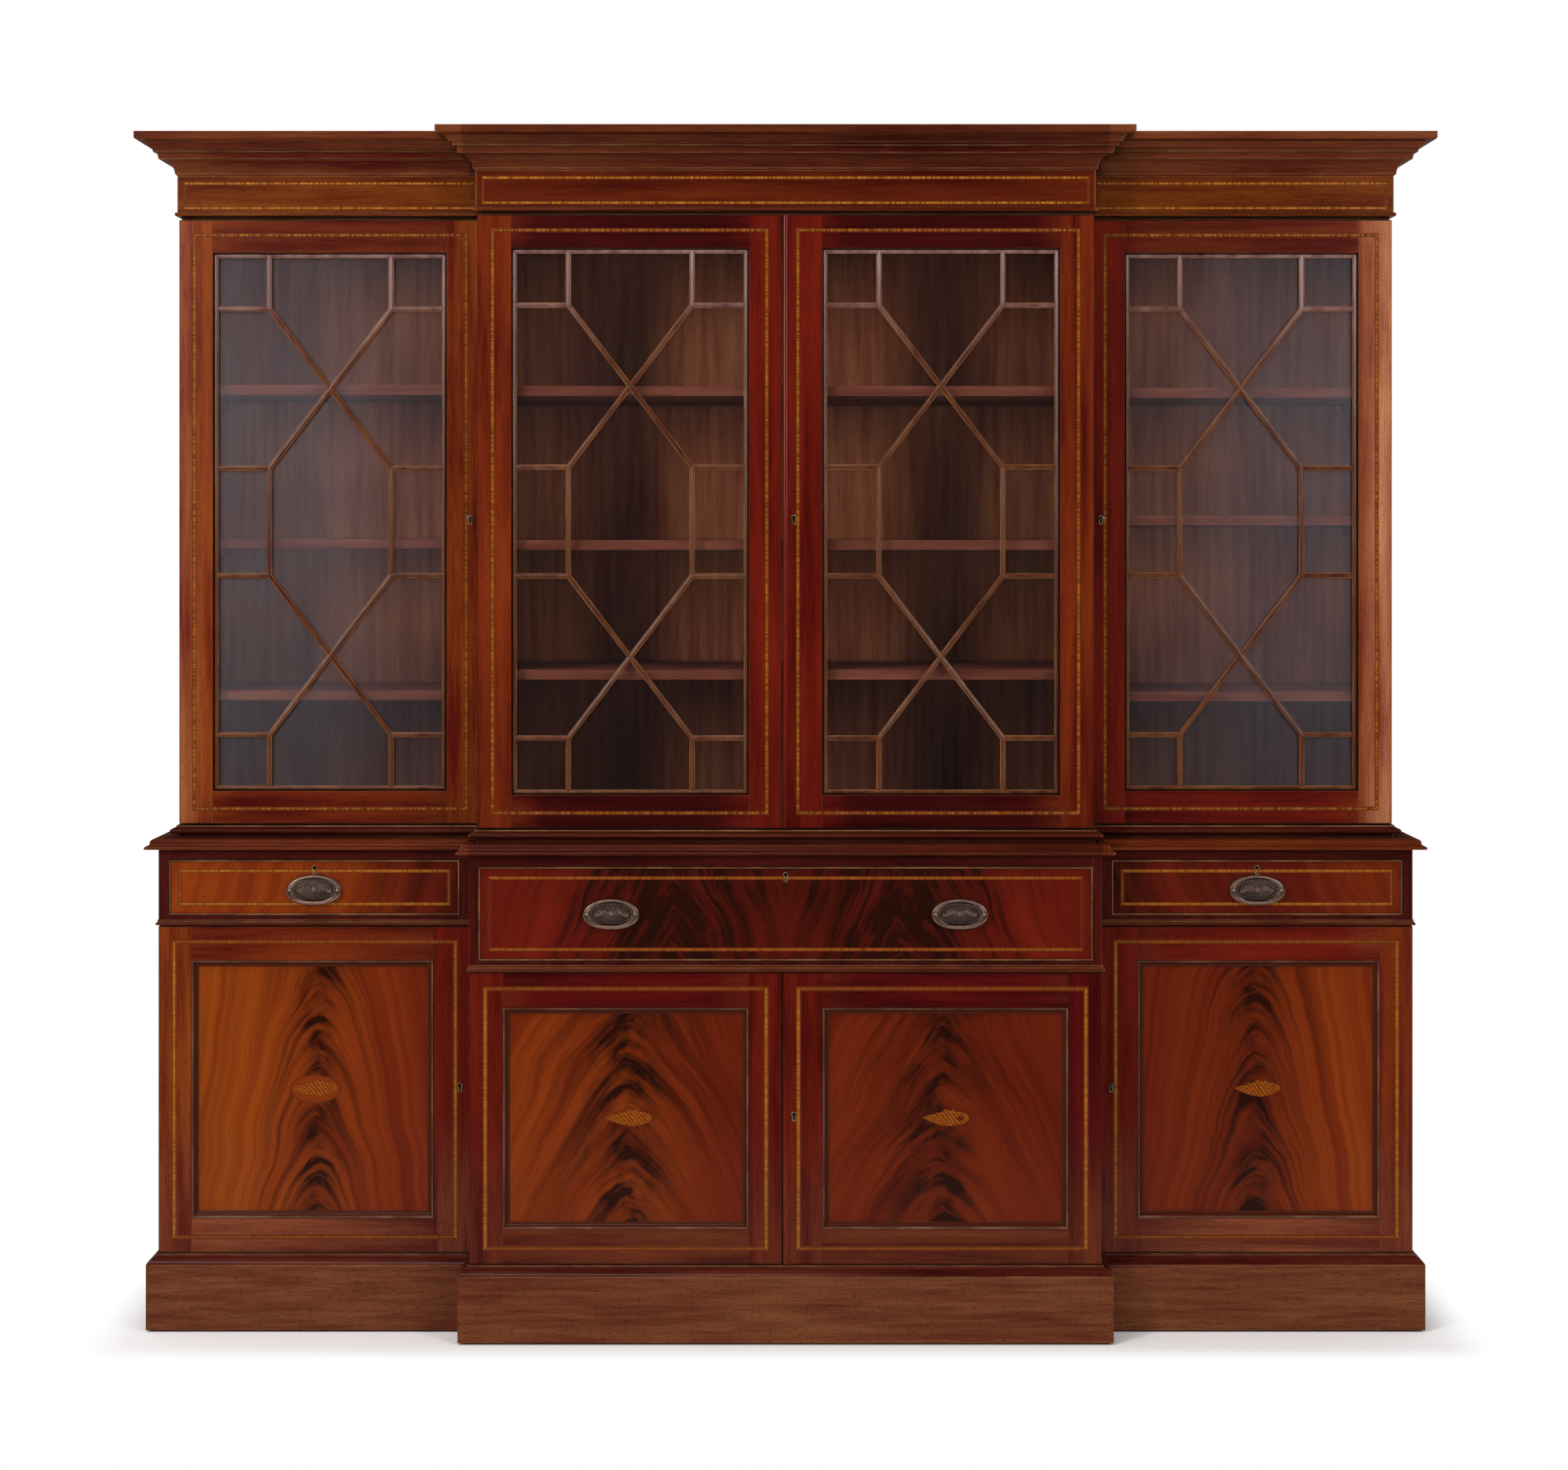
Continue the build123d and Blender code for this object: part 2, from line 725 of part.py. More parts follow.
# Key standing in a lock, its bow level
def key(centre, face, thickness):
    inner_end = thickness - lock_wall - key_end_gap
    shank = into_face(Circle(key_shank_radius), centre, face, -key_reach, key_reach + inner_end)
    collar = into_face(Circle(key_collar_radius), centre, face, -key_reach, key_collar_length)
    bit = board(
        (centre[0], centre[0] + key_bit_reach),
        (face + inner_end - key_bit_length, face + inner_end),
        (centre[1] - key_bit_thickness / 2, centre[1] + key_bit_thickness / 2),
    )
    bow_out = key_bow_short - key_bow_wall / 2
    bow_plane = Plane(origin=(centre[0], face - key_reach - bow_out, centre[1] - key_bow_thickness / 2))
    hole = Ellipse(key_bow_long - key_bow_wall, key_bow_short - key_bow_wall)
    bow = extrude(bow_plane * (Ellipse(key_bow_long, key_bow_short) - hole), amount=key_bow_thickness)
    return shank + collar + bit + bow


# Heights of the hinges on a door
def hinge_levels(low, high, tall):
    rise = high - low
    shares = [hinge_end_share, 1 - hinge_end_share]
    if tall:
        shares.append(hinge_middle_share)
    return [low + rise * share for share in shares]


# Knuckle along a hinge axis
def knuckle(x, y, z_low, z_high, radius):
    return Pos(x, y, (z_low + z_high) / 2) * Cylinder(radius, z_high - z_low)


# Recess of one hinge in the door or in the case, on the side that the leaf lies
def hinge_recess(x, axis_y, z, sign, leaf_y):
    z_span = (z - hinge_height / 2, z + hinge_height / 2)
    leaf = board(sorted((x, x + sign * hinge_leaf_width)), leaf_y, z_span)
    return leaf + knuckle(x, axis_y, z_span[0], z_span[1], hinge_radius + hinge_relief)


# Where the two leaves of a hinge lie, behind the door and before the case
def leaf_spans(face):
    back = face + door_thickness
    front = face + case_inset
    return (back - hinge_leaf_thickness, back), (front, front + hinge_leaf_thickness)


# A leaf with its knuckles: the door has the middle one, the case has the two ends and the pin
def hinge_leaf(x, face, z, sign, on_door):
    axis_y = face + door_thickness + case_gap / 2
    door_y, case_y = leaf_spans(face)
    low = z - hinge_height / 2
    third = hinge_height / 3
    start = x + sign * (hinge_radius + hinge_relief)
    leaf = board(
        sorted((start, x + sign * hinge_leaf_width)),
        door_y if on_door else case_y,
        (low, low + hinge_height),
    )
    spans = [(low + third, low + 2 * third)]
    if not on_door:
        spans = [(low, low + third), (low + 2 * third, low + hinge_height)]
    gap = hinge_knuckle_gap
    for bottom, top in spans:
        span = (bottom + gap / 2, top - gap / 2)
        # Each tongue joins its knuckle to the leaf
        tongue_y = (door_y[0], axis_y) if on_door else (axis_y, case_y[1])
        leaf += board(sorted((x, start)), tongue_y, span)
        leaf += knuckle(x, axis_y, span[0], span[1], hinge_radius)
    if on_door:
        leaf -= knuckle(x, axis_y, low, low + hinge_height, hinge_pin_radius + hinge_pin_clearance)
    else:
        leaf += knuckle(x, axis_y, low + third / 2, low + hinge_height - third / 2, hinge_pin_radius)
    return leaf


# A door of either stage, with what its place on the case decides
class Door:
    def __init__(self, name, hinge_x, free_x, face, low, high, rail, stile, free_stile, keyed, tall, bead):
        self.name = name
        self.hinge_x = hinge_x
        self.free_x = free_x
        self.face = face
        self.low = low
        self.high = high
        self.rail = rail
        self.sign = 1 if free_x > hinge_x else -1
        self.opening_x = sorted((hinge_x + self.sign * stile, free_x - self.sign * free_stile))
        self.keyed = keyed
        self.bead = bead
        self.levels = hinge_levels(low, high, tall)
        self.key_at = (free_x - self.sign * keyhole_inset, (low + high) / 2 + keyhole_rise)

    # Stiles and rails, cut for the lock and the hinges
    def frame(self):
        back = self.face + door_thickness
        y_span = (self.face, back)
        x_low, x_high = sorted((self.hinge_x, self.free_x))
        pieces = [
            board((x_low, self.opening_x[0]), y_span, (self.low, self.high)),
            board((self.opening_x[1], x_high), y_span, (self.low, self.high)),
            board(self.opening_x, y_span, (self.low, self.low + self.rail)),
            board(self.opening_x, y_span, (self.high - self.rail, self.high)),
        ]
        hinge_stile = 0 if self.sign > 0 else 1
        lock_stile = 1 - hinge_stile
        axis_y = back + case_gap / 2
        leaf_y = leaf_spans(self.face)[0]
        for z in self.levels:
            pieces[hinge_stile] -= hinge_recess(self.hinge_x, axis_y, z, self.sign, leaf_y)
        if self.keyed:
            for cut in lock_cuts(self.key_at, self.face, door_thickness):
                pieces[lock_stile] -= cut
        if self.bead:
            pieces.append(self.meeting_bead())
        return pieces

    # Half-round bead planted along the meeting edge
    def meeting_bead(self):
        near = self.free_x
        far = self.free_x - self.sign * meeting_bead_width
        left, right = sorted((near, far))
        middle = (left + right) / 2
        base = self.face - meeting_bead_out / 3
        top = self.face - meeting_bead_out
        profile = make_face(Wire([
            Line((left, self.face, self.low), (left, base, self.low)),
            ThreePointArc((left, base, self.low), (middle, top, self.low), (right, base, self.low)),
            Line((right, base, self.low), (right, self.face, self.low)),
            Line((right, self.face, self.low), (left, self.face, self.low)),
        ]))
        return extrude(profile, amount=self.high - self.low, dir=(0, 0, 1))

    # Brass let into the door: hinge leaves, keyhole plate and lock
    def fittings(self):
        pieces = [hinge_leaf(self.hinge_x, self.face, z, self.sign, True) for z in self.levels]
        if self.keyed:
            pieces += lock_and_plate(self.key_at, self.face, door_thickness)
        return pieces

    def key(self):
        return key(self.key_at, self.face, door_thickness)

    # The opening of the frame as a place: x to the right, y up, z to the front
    def opening_place(self, depth):
        middle = ((self.opening_x[0] + self.opening_x[1]) / 2, (self.low + self.high) / 2)
        return Plane(origin=(middle[0], self.face + depth, middle[1]), x_dir=(1, 0, 0), z_dir=(0, -1, 0))


glazed_opening_height = glazed_height - 2 * glazed_rail
meeting_free_left = -meeting_bead_width / 2 - meeting_gap
meeting_free_right = -meeting_bead_width / 2
wing_free = centre_half + wing_door_clearance
glazed_values = (glazed_bottom, glazed_top, glazed_rail, glazed_stile)
glazed_wing_values = (*glazed_values, glazed_lock_stile)
panel_low = base_floor + door_gap
base_wing_free = base_centre_half + stop_strip_width + meeting_gap
wing_panel_values = (panel_low, wing_cupboard_top - door_gap * 2, panel_rail, panel_stile, panel_lock_stile)
centre_panel_values = (panel_low, centre_cupboard_top - door_gap, panel_rail, panel_stile)

glazed_doors = [
    Door("upper_left", -upper_half, -wing_free, wing_face, *glazed_wing_values, True, True, False),
    Door(
        "upper_centre_left", -centre_half, meeting_free_left, centre_face, *glazed_values,
        glazed_meeting_stile - meeting_gap, False, True, False,
    ),
    Door(
        "upper_centre_right", centre_half, meeting_free_right, centre_face, *glazed_values,
        glazed_meeting_stile + meeting_bead_width, True, True, True,
    ),
    Door("upper_right", upper_half, wing_free, wing_face, *glazed_wing_values, True, True, False),
]
panel_doors = [
    Door("lower_left", -base_half, -base_wing_free, base_wing_face, *wing_panel_values, True, False, False),
    Door(
        "lower_centre_left", -base_centre_half, meeting_free_left, base_centre_face, *centre_panel_values,
        panel_meeting_stile - meeting_gap, False, False, False,
    ),
    Door(
        "lower_centre_right", base_centre_half, meeting_free_right, base_centre_face, *centre_panel_values,
        panel_meeting_stile + meeting_bead_width, True, False, True,
    ),
    Door("lower_right", base_half, base_wing_free, base_wing_face, *wing_panel_values, True, False, False),
]


# Astragal: a flat base with a round bead on it, x across, y to the front
def astragal():
    half = lattice_width / 2
    bead = lattice_bead_radius
    return outline((-half, 0), [
        [(half, 0)],
        [(half, lattice_base)],
        [(bead, lattice_base)],
        [(0, lattice_base + bead), (-bead, lattice_base)],
        [(-half, lattice_base)],
    ])


# A straight glazing bar between two points of the opening
def glazing_bar(start, end):
    step = Vector(*end) - Vector(*start)
    way = step.normalized()
    across = Vector(way.Y, -way.X, 0)
    plane = Plane(origin=Vector(*start), x_dir=across, z_dir=across.cross(Vector(0, 0, 1)))
    return extrude(plane * astragal(), amount=step.length, dir=way)


# Lattice of one glazed door: a mitred border, corner squares, two crosses and a tall middle
def glazing_lattice(door):
    half_x = (door.opening_x[1] - door.opening_x[0]) / 2
    half_y = glazed_opening_height / 2
    border_x = half_x - lattice_width / 2
    border_y = half_y - lattice_width / 2
    post = half_x - corner_square
    high = half_y - corner_square
    low = middle_pane_height / 2
    corners = [(-border_x, -border_y), (-border_x, border_y), (border_x, border_y), (border_x, -border_y)]
    pieces = mitred_runs(corners, astragal(), closed=True)
    for x in (-1, 1):
        pieces.append(glazing_bar((x * post, -low), (x * post, low)))
        for y in (-1, 1):
            pieces.append(glazing_bar((x * post, y * high), (x * post, y * border_y)))
            pieces.append(glazing_bar((x * post, y * high), (x * border_x, y * high)))
            pieces.append(glazing_bar((x * post, y * low), (x * border_x, y * low)))
            pieces.append(glazing_bar((x * post, y * high), (-x * post, y * low)))
    # Round knots close the bars' ends where they meet
    knot = Cylinder(lattice_width / 2, lattice_base, align=(Align.CENTER, Align.CENTER, Align.MIN))
    for x in (-1, 1):
        for y in (-high, -low, low, high):
            pieces.append(Pos(x * post, y) * knot)
    lattice = pieces[0]
    for piece in pieces[1:]:
        lattice += piece
    return lattice


# Profile of the moulding round a cupboard panel: x towards the panel, y to the front
def panel_profile():
    rise = panel_depth + panel_moulding_proud
    fillet = panel_moulding_fillet
    return outline((0, 0), [
        [(panel_moulding, 0)],
        [(panel_moulding, fillet / 2)],
        [((fillet + panel_moulding) / 2 - fillet / 2, rise / 2 - fillet / 2), (fillet, rise - fillet)],
        [(fillet, rise - fillet / 2)],
        [(fillet / 2, rise), (0, rise - fillet / 2)],
    ])


# Panel of a cupboard door with its planted moulding
def door_panel(door):
    width = door.opening_x[1] - door.opening_x[0]
    height = door.high - door.low - 2 * door.rail
    place = door.opening_place(panel_depth)
    sheet = Box(width, height, panel_thickness, align=(Align.CENTER, Align.CENTER, Align.MAX))
    x = width / 2
    y = height / 2
    corners = [(-x, -y), (-x, y), (x, y), (x, -y)]
    runs = mitred_runs(corners, panel_profile(), closed=True)
    return [place * piece for piece in [sheet] + runs]


# Pane behind the lattice of a glazed door
def pane(door):
    place = door.opening_place(lattice_back_depth)
    width = door.opening_x[1] - door.opening_x[0]
    seat = (Align.CENTER, Align.CENTER, Align.MAX)
    sheet = Box(width, glazed_opening_height, glass_thickness, align=seat)
    return [place * sheet]


# Case leaves of every hinge
def case_hinge_leaves():
    return [
        hinge_leaf(door.hinge_x, door.face, z, door.sign, False)
        for door in glazed_doors + panel_doors
        for z in door.levels
    ]


# Recesses that the case leaves lie in
def hinge_housed(pieces, doors):
    for door in doors:
        axis_y = door.face + door_thickness + case_gap / 2
        for z in door.levels:
            recess = hinge_recess(door.hinge_x, axis_y, z, door.sign, leaf_spans(door.face)[1])
            middle_x = door.hinge_x + door.sign * hinge_leaf_width / 2
            inside = Vector(middle_x, door.face + case_inset + side_thickness, z)
            for i, piece in enumerate(pieces):
                box = piece.bounding_box()
                if box.min.X < inside.X < box.max.X and box.min.Y < inside.Y < box.max.Y:
                    if box.min.Z < z < box.max.Z:
                        pieces[i] = piece - recess
    return pieces


# A drawer: its front's limits, its face and the box behind it
class Drawer:
    def __init__(self, x_span, face, z_span, handle_drop):
        self.x_span = (x_span[0] + drawer_clearance, x_span[1] - drawer_clearance)
        self.z_span = (z_span[0] + drawer_clearance, z_span[1] - drawer_clearance)
        self.face = face
        middle = (x_span[0] + x_span[1]) / 2
        self.key_at = (middle, self.z_span[1] - drawer_keyhole_drop)
        self.handle_z = (z_span[0] + z_span[1]) / 2 - handle_drop
        self.middle = middle

    # Front board with a cockbead round its edge
    def front(self):
        y_span = (self.face, self.face + drawer_front)
        piece = board(self.x_span, y_span, self.z_span)
        proud = (self.face - cockbead_out, self.face)
        inner_x = (self.x_span[0] + cockbead_width, self.x_span[1] - cockbead_width)
        inner_z = (self.z_span[0] + cockbead_width, self.z_span[1] - cockbead_width)
        piece += board(self.x_span, proud, self.z_span) - board(inner_x, proud, inner_z)
        for cut in lock_cuts(self.key_at, self.face, drawer_front):
            piece -= cut
        return [piece]

    # Keyhole plate, lock and handle backplates
    def fittings(self, handle_xs):
        pieces = lock_and_plate(self.key_at, self.face, drawer_front)
        for x in handle_xs:
            pieces += handle_plate((x, self.handle_z), self.face)
        return pieces


# Backplate of a handle, an oval with a raised middle, and two posts bored for the bail
def handle_plate(centre, face):
    plate = into_face(Ellipse(plate_long, plate_short), centre, face, -plate_thickness, plate_thickness)
    rise = plate_thickness + dome_rise
    plate += into_face(Ellipse(dome_long, dome_short), centre, face, -rise, dome_rise)
    bore = Pos(centre[0], face - bail_stand, centre[1]) * Rot(0, 90, 0)
    bore *= Cylinder(bail_pin_radius + bail_pin_clearance, post_spread + 4 * post_radius)
    posts = []
    for side in (-1, 1):
        foot = (centre[0] + side * post_spread / 2, centre[1])
        post = into_face(Circle(post_radius), foot, face, -post_length, post_length)
        plate -= post
        posts.append(post - bore)
    return [plate] + posts


# Bail: arcs hanging from two pins turned inwards through the posts
def handle_bail(centre, face):
    half = post_spread / 2 + post_radius + bail_gap + bail_radius
    big = ((half - bail_corner) ** 2 + bail_drop ** 2 - bail_corner ** 2) / (2 * (bail_drop - bail_corner))
    hub = Vector(0, big - bail_drop)
    knee = Vector(half - bail_corner, 0)
    lean = (knee - hub).normalized()
    turn = hub + lean * big
    half_lean = (lean + Vector(1, 0)).normalized()
    corner_mid = knee + half_lean * bail_corner
    path = Wire([
        ThreePointArc((half, 0), (corner_mid.X, corner_mid.Y), (turn.X, turn.Y)),
        ThreePointArc((turn.X, turn.Y), (0, -bail_drop), (-turn.X, turn.Y)),
        ThreePointArc((-turn.X, turn.Y), (-corner_mid.X, corner_mid.Y), (-half, 0)),
    ])
    section = Plane(origin=(half, 0, 0), z_dir=(0, -1, 0)) * Circle(bail_radius)
    bail = sweep(section, path=path)
    tail = post_spread / 2 - post_radius - bail_pin_tail
    for side in (-1, 1):
        eye = Pos(side * half, 0, 0) * Sphere(bail_radius)
        pin = Pos(side * (half + tail) / 2, 0, 0) * Rot(0, 90, 0) * Cylinder(bail_pin_radius, half - tail)
        bail += eye + pin
    place = Plane(origin=(centre[0], face - bail_stand, centre[1]), x_dir=(1, 0, 0), z_dir=(0, -1, 0))
    return place * bail


wing_opening_z = (wing_drawer_floor, wing_drawer_floor + wing_drawer_height)
centre_opening_z = (centre_drawer_floor, centre_drawer_floor + centre_drawer_height)
right_drawer = Drawer(wing_drawer_span, base_wing_face, wing_opening_z, wing_handle_drop)
left_drawer_span = (-wing_drawer_span[1], -wing_drawer_span[0])
left_drawer = Drawer(left_drawer_span, base_wing_face, wing_opening_z, wing_handle_drop)
centre_drawer = Drawer((-centre_drawer_reach, centre_drawer_reach), base_centre_face, centre_opening_z, 0)
fall_handles = (-fall_handle_spread / 2, fall_handle_spread / 2)


# Sides, back and bottom of a wing drawer
def wing_drawer_box(drawer):
    x_low = drawer.x_span[0] + drawer_side_inset
    x_high = drawer.x_span[1] - drawer_side_inset
    y_low = drawer.face + drawer_front
    y_high = inside_back - drawer_stop_gap
    z_low = wing_drawer_floor + seat_clearance
    z_high = drawer.z_span[1] - drawer_top_gap
    inner = (x_low + drawer_side, x_high - drawer_side)
    rise = z_low + drawer_bottom_rise
    return [
        board((x_low, inner[0]), (y_low, y_high), (z_low, z_high)),
        board((inner[1], x_high), (y_low, y_high), (z_low, z_high)),
        board(inner, (y_high - drawer_side, y_high), (rise + drawer_bottom, z_high)),
        board(inner, (y_low, y_high), (rise, rise + drawer_bottom)),
    ]


# Where the fall turns: just behind its face, above its lower edge
fall_pivot = (centre_drawer.face + pivot_depth, centre_drawer.z_span[0] + pivot_rise)
box_reach = base_centre_inner - guide_clearance
desk_reach = box_reach - drawer_side
desk_top = fall_pivot[1] + drawer_front - pivot_depth
# Reach of the fall's foot about the pivot, with its clearance
foot_swing = math.hypot(drawer_front - pivot_depth, pivot_rise) + fall_swing_gap


# A shape drawn in the plane of the fall's swing: x to the back, y up, from the pivot
def beside_fall(shape, x_span):
    plane = Plane(origin=(x_span[0], *fall_pivot), x_dir=(0, 1, 0), z_dir=(1, 0, 0))
    return extrude(plane * shape, amount=x_span[1] - x_span[0], dir=(1, 0, 0))


# Points of an arc about the fall's pivot between two heights
def pivot_arc(radius, low, high):
    angles = [math.asin(low / radius), math.asin(high / radius)]
    angles.insert(1, sum(angles) / 2)
    return [(radius * math.cos(a), radius * math.sin(a)) for a in angles]


# Brass plates on the drawer sides, each with an eye for the fall's pivot pin
def fall_pivot_plates():
    eye = pivot_eye_radius
    arm = Pos(pivot_plate_length / 2, 0) * Rectangle(pivot_plate_length, 2 * eye)
    shape = Circle(eye) + arm - Circle(pivot_pin_radius + pivot_pin_clearance)
    plate = beside_fall(shape, (desk_reach - pivot_plate_thickness, desk_reach))
    return [plate, other_side(plate)]


# Slots in the fall that clear the pivot plates as it turns
def fall_slots():
    x_span = (desk_reach - pivot_plate_thickness - pivot_slot_gap, desk_reach + pivot_slot_gap)
    y_span = (centre_drawer.face + pivot_skin, centre_drawer.face + drawer_front)
    top = fall_pivot[1] + pivot_eye_radius + pivot_slot_gap
    slot = board(x_span, y_span, (centre_drawer.z_span[0], top))
    return [slot, other_side(slot)]


# Pins that cross the slots and turn in the plates
def fall_pins():
    inner = desk_reach - pivot_plate_thickness - pivot_slot_gap
    pin = beside_fall(Circle(pivot_pin_radius), (inner, desk_reach + pivot_slot_gap))
    return [pin, other_side(pin)]


# The sides' inner faces hold a stay beside each plate
def stay_span(gap):
    outer = desk_reach - pivot_plate_thickness - quadrant_gap
    return (outer - quadrant_thickness - gap, outer + gap)


# Brass quadrant stays, arcs about the pivot that end at the fall's back
def quadrants():
    back = drawer_front - pivot_depth
    low = quadrant_tail_gap - pivot_rise
    rims = []
    for radius in (quadrant_radius, quadrant_radius - quadrant_width):
        rims.append(pivot_arc(radius, low, math.sqrt(radius ** 2 - back ** 2)))
    outer_rim, inner_rim = rims
    shape = make_face(Wire([
        ThreePointArc(*outer_rim),
        Line(outer_rim[2], inner_rim[2]),
        ThreePointArc(*reversed(inner_rim)),
        Line(inner_rim[0], outer_rim[0]),
    ]))
    stay = beside_fall(shape, stay_span(0))
    return [stay, other_side(stay)]


# Writing board, hollowed along its front edge where the foot of the fall swings up to meet it
def desk_board(y_high):
    back = drawer_front - pivot_depth
    front = pivot_arc(foot_swing, back - writing_board, back)
    far = y_high - fall_pivot[0]
    shape = make_face(Wire([
        ThreePointArc(*front),
        Line(front[2], (far, back)),
        Line((far, back), (far, back - writing_board)),
        Line((far, back - writing_board), front[0]),
    ]))
    desk = beside_fall(shape, (-desk_reach, desk_reach))
    stay_low, stay_high = stay_span(quadrant_gap / 2)
    near = quadrant_radius - quadrant_width * 1.5
    slot_y = (fall_pivot[0] + near, fall_pivot[0] + quadrant_radius + quadrant_gap)
    slot = board((stay_low, stay_high), slot_y, (desk_top - writing_board, desk_top))
    for cut in [slot, other_side(slot)] + fall_pivot_plates():
        desk -= cut
    return desk


# Box of the secretaire drawer: writing board, sides hollowed for the fall's foot, back and pigeonholes
def centre_drawer_box():
    drawer = centre_drawer
    y_low = drawer.face + drawer_front + case_gap
    y_high = inside_back - drawer_stop_gap
    z_low = centre_drawer_floor + seat_clearance
    z_high = drawer.z_span[1] - drawer_top_gap
    nook_back = y_high - drawer_side
    nook_y = (nook_back - pigeonhole_depth, nook_back)
    nook_top = z_high - pigeonhole_top_gap
    step = 2 * desk_reach / pigeonhole_count
    side = board((desk_reach, box_reach), (y_low, y_high), (z_low, z_high))
    side -= beside_fall(Circle(foot_swing), (desk_reach, box_reach))
    pieces = [
        desk_board(y_high),
        side,
        other_side(side),
        board((-desk_reach, desk_reach), (nook_back, y_high), (desk_top, z_high)),
        board((-desk_reach, desk_reach), nook_y, (nook_top - pigeonhole_board, nook_top)),
    ]
    for i in range(1, pigeonhole_count):
        x = -desk_reach + i * step
        half = pigeonhole_board / 2
        pieces.append(board((x - half, x + half), nook_y, (desk_top, nook_top - pigeonhole_board)))
    return pieces


os.makedirs("parts", exist_ok=True)

node("plinth_boards", plinth_boards())
node("plinth_cap_moulding", plinth_cap())
node("base_sides", hinge_housed(base_sides(), panel_doors))
node("base_cross_boards", base_cross_boards())
node("base_face_frame", base_face_frame())
node("mid_mouldings", mid_mouldings())
node("base_ledge", base_ledge())
node("waist_moulding", waist_moulding())
node("upper_sides", hinge_housed(upper_sides(), glazed_doors))
node("upper_cross_boards", upper_cross_boards())
node("back_boards", upper_back_boards() + base_back_panels())
node("shelves", shelves())
node("frieze", frieze())
node("cornice", cornice())
node("case_hinge_leaves", case_hinge_leaves())

for door in glazed_doors:
    node(door.name + "_door_frame", door.frame())
    node(door.name + "_glazing_bars", [door.opening_place(lattice_back_depth) * glazing_lattice(door)])
    node(door.name + "_pane", pane(door))
    node(door.name + "_door_fittings", door.fittings())

for door in panel_doors:
    node(door.name + "_door_frame", door.frame())
    node(door.name + "_door_panel", door_panel(door))
    node(door.name + "_door_fittings", door.fittings())

for side, drawer in (("left", left_drawer), ("right", right_drawer)):
    node(side + "_drawer_front", drawer.front())
    node(side + "_drawer_box", wing_drawer_box(drawer))
    node(side + "_drawer_fittings", drawer.fittings([drawer.middle]))
    node(side + "_drawer_bail", [handle_bail((drawer.middle, drawer.handle_z), drawer.face)])

fall_front = centre_drawer.front()[0]
for slot in fall_slots():
    fall_front -= slot
node("centre_fall_front", [fall_front])
node("centre_drawer_box", centre_drawer_box())
node("centre_fall_fittings", centre_drawer.fittings(fall_handles) + quadrants() + fall_pins())
node("centre_pivot_plates", fall_pivot_plates())
for side, x in zip(("left", "right"), fall_handles):
    node("centre_" + side + "_bail", [handle_bail((x, centre_drawer.handle_z), centre_drawer.face)])

keyed_now = {"upper_left": glazed_doors[0], "upper_right": glazed_doors[3], "lower_right": panel_doors[3]}
for name, door in keyed_now.items():
    node(name + "_key", [door.key()])
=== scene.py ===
import math
import bpy
import numpy as np
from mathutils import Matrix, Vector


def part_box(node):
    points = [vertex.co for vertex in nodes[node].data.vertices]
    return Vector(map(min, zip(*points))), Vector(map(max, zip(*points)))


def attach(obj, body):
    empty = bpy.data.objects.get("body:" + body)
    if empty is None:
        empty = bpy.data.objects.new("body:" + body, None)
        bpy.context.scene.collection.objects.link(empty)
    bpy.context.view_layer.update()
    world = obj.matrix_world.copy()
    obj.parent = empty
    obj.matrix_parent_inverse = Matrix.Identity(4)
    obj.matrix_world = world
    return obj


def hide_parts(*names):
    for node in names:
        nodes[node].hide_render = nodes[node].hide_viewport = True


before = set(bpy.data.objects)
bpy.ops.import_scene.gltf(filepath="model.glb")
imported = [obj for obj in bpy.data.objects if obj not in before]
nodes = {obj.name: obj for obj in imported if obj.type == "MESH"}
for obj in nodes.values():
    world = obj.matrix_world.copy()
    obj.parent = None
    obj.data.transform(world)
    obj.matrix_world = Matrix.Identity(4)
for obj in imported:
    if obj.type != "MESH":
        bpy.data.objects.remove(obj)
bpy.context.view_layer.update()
print("frame loaded:", len(nodes), "nodes")

# Camera: level and square to the front, its axis above the middle of the picture

cameraSet = {
    "distance": 5.6,        # metres from the wing doors
    "doorPlane": -0.08425,
    "height": 1.492,
    "focal": 67.6,
    "sensor": 36,           # width of the picture in the camera, in mm like the focal length
    "shiftX": -0.001,
    "shiftY": -0.1242,
}
camera = bpy.data.objects.new("Camera", bpy.data.cameras.new("Camera"))
bpy.context.scene.collection.objects.link(camera)
camera.location = (0, cameraSet["doorPlane"] - cameraSet["distance"], cameraSet["height"])
camera.rotation_euler = (math.radians(90), 0, 0)
camera.data.sensor_width = cameraSet["sensor"]
camera.data.lens = cameraSet["focal"]
camera.data.shift_x = cameraSet["shiftX"]
camera.data.shift_y = cameraSet["shiftY"]
bpy.context.scene.camera = camera
bpy.context.scene.view_settings.view_transform = "Standard"
print("camera placed")


# Shader helpers

# An sRGB colour such as "#8a3f0e" as linear red, green, blue and alpha
def colour(text):
    parts = [int(text[i:i + 2], 16) / 255 for i in (1, 3, 5)]
    return [c / 12.92 if c <= 0.04045 else ((c + 0.055) / 1.055) ** 2.4 for c in parts] + [1]


# Adds a node: settings are its fields or its inputs' values, links are what feeds its inputs
def addNode(tree, kind, settings=None, links=None):
    node = tree.nodes.new(kind)
    for name, value in (settings or {}).items():
        if isinstance(name, str) and hasattr(node, name):
            setattr(node, name, value)
        else:
            node.inputs[name].default_value = value
    for name, source in (links or {}).items():
        tree.links.new(getattr(source, "socket", source), node.inputs[name])
    return node


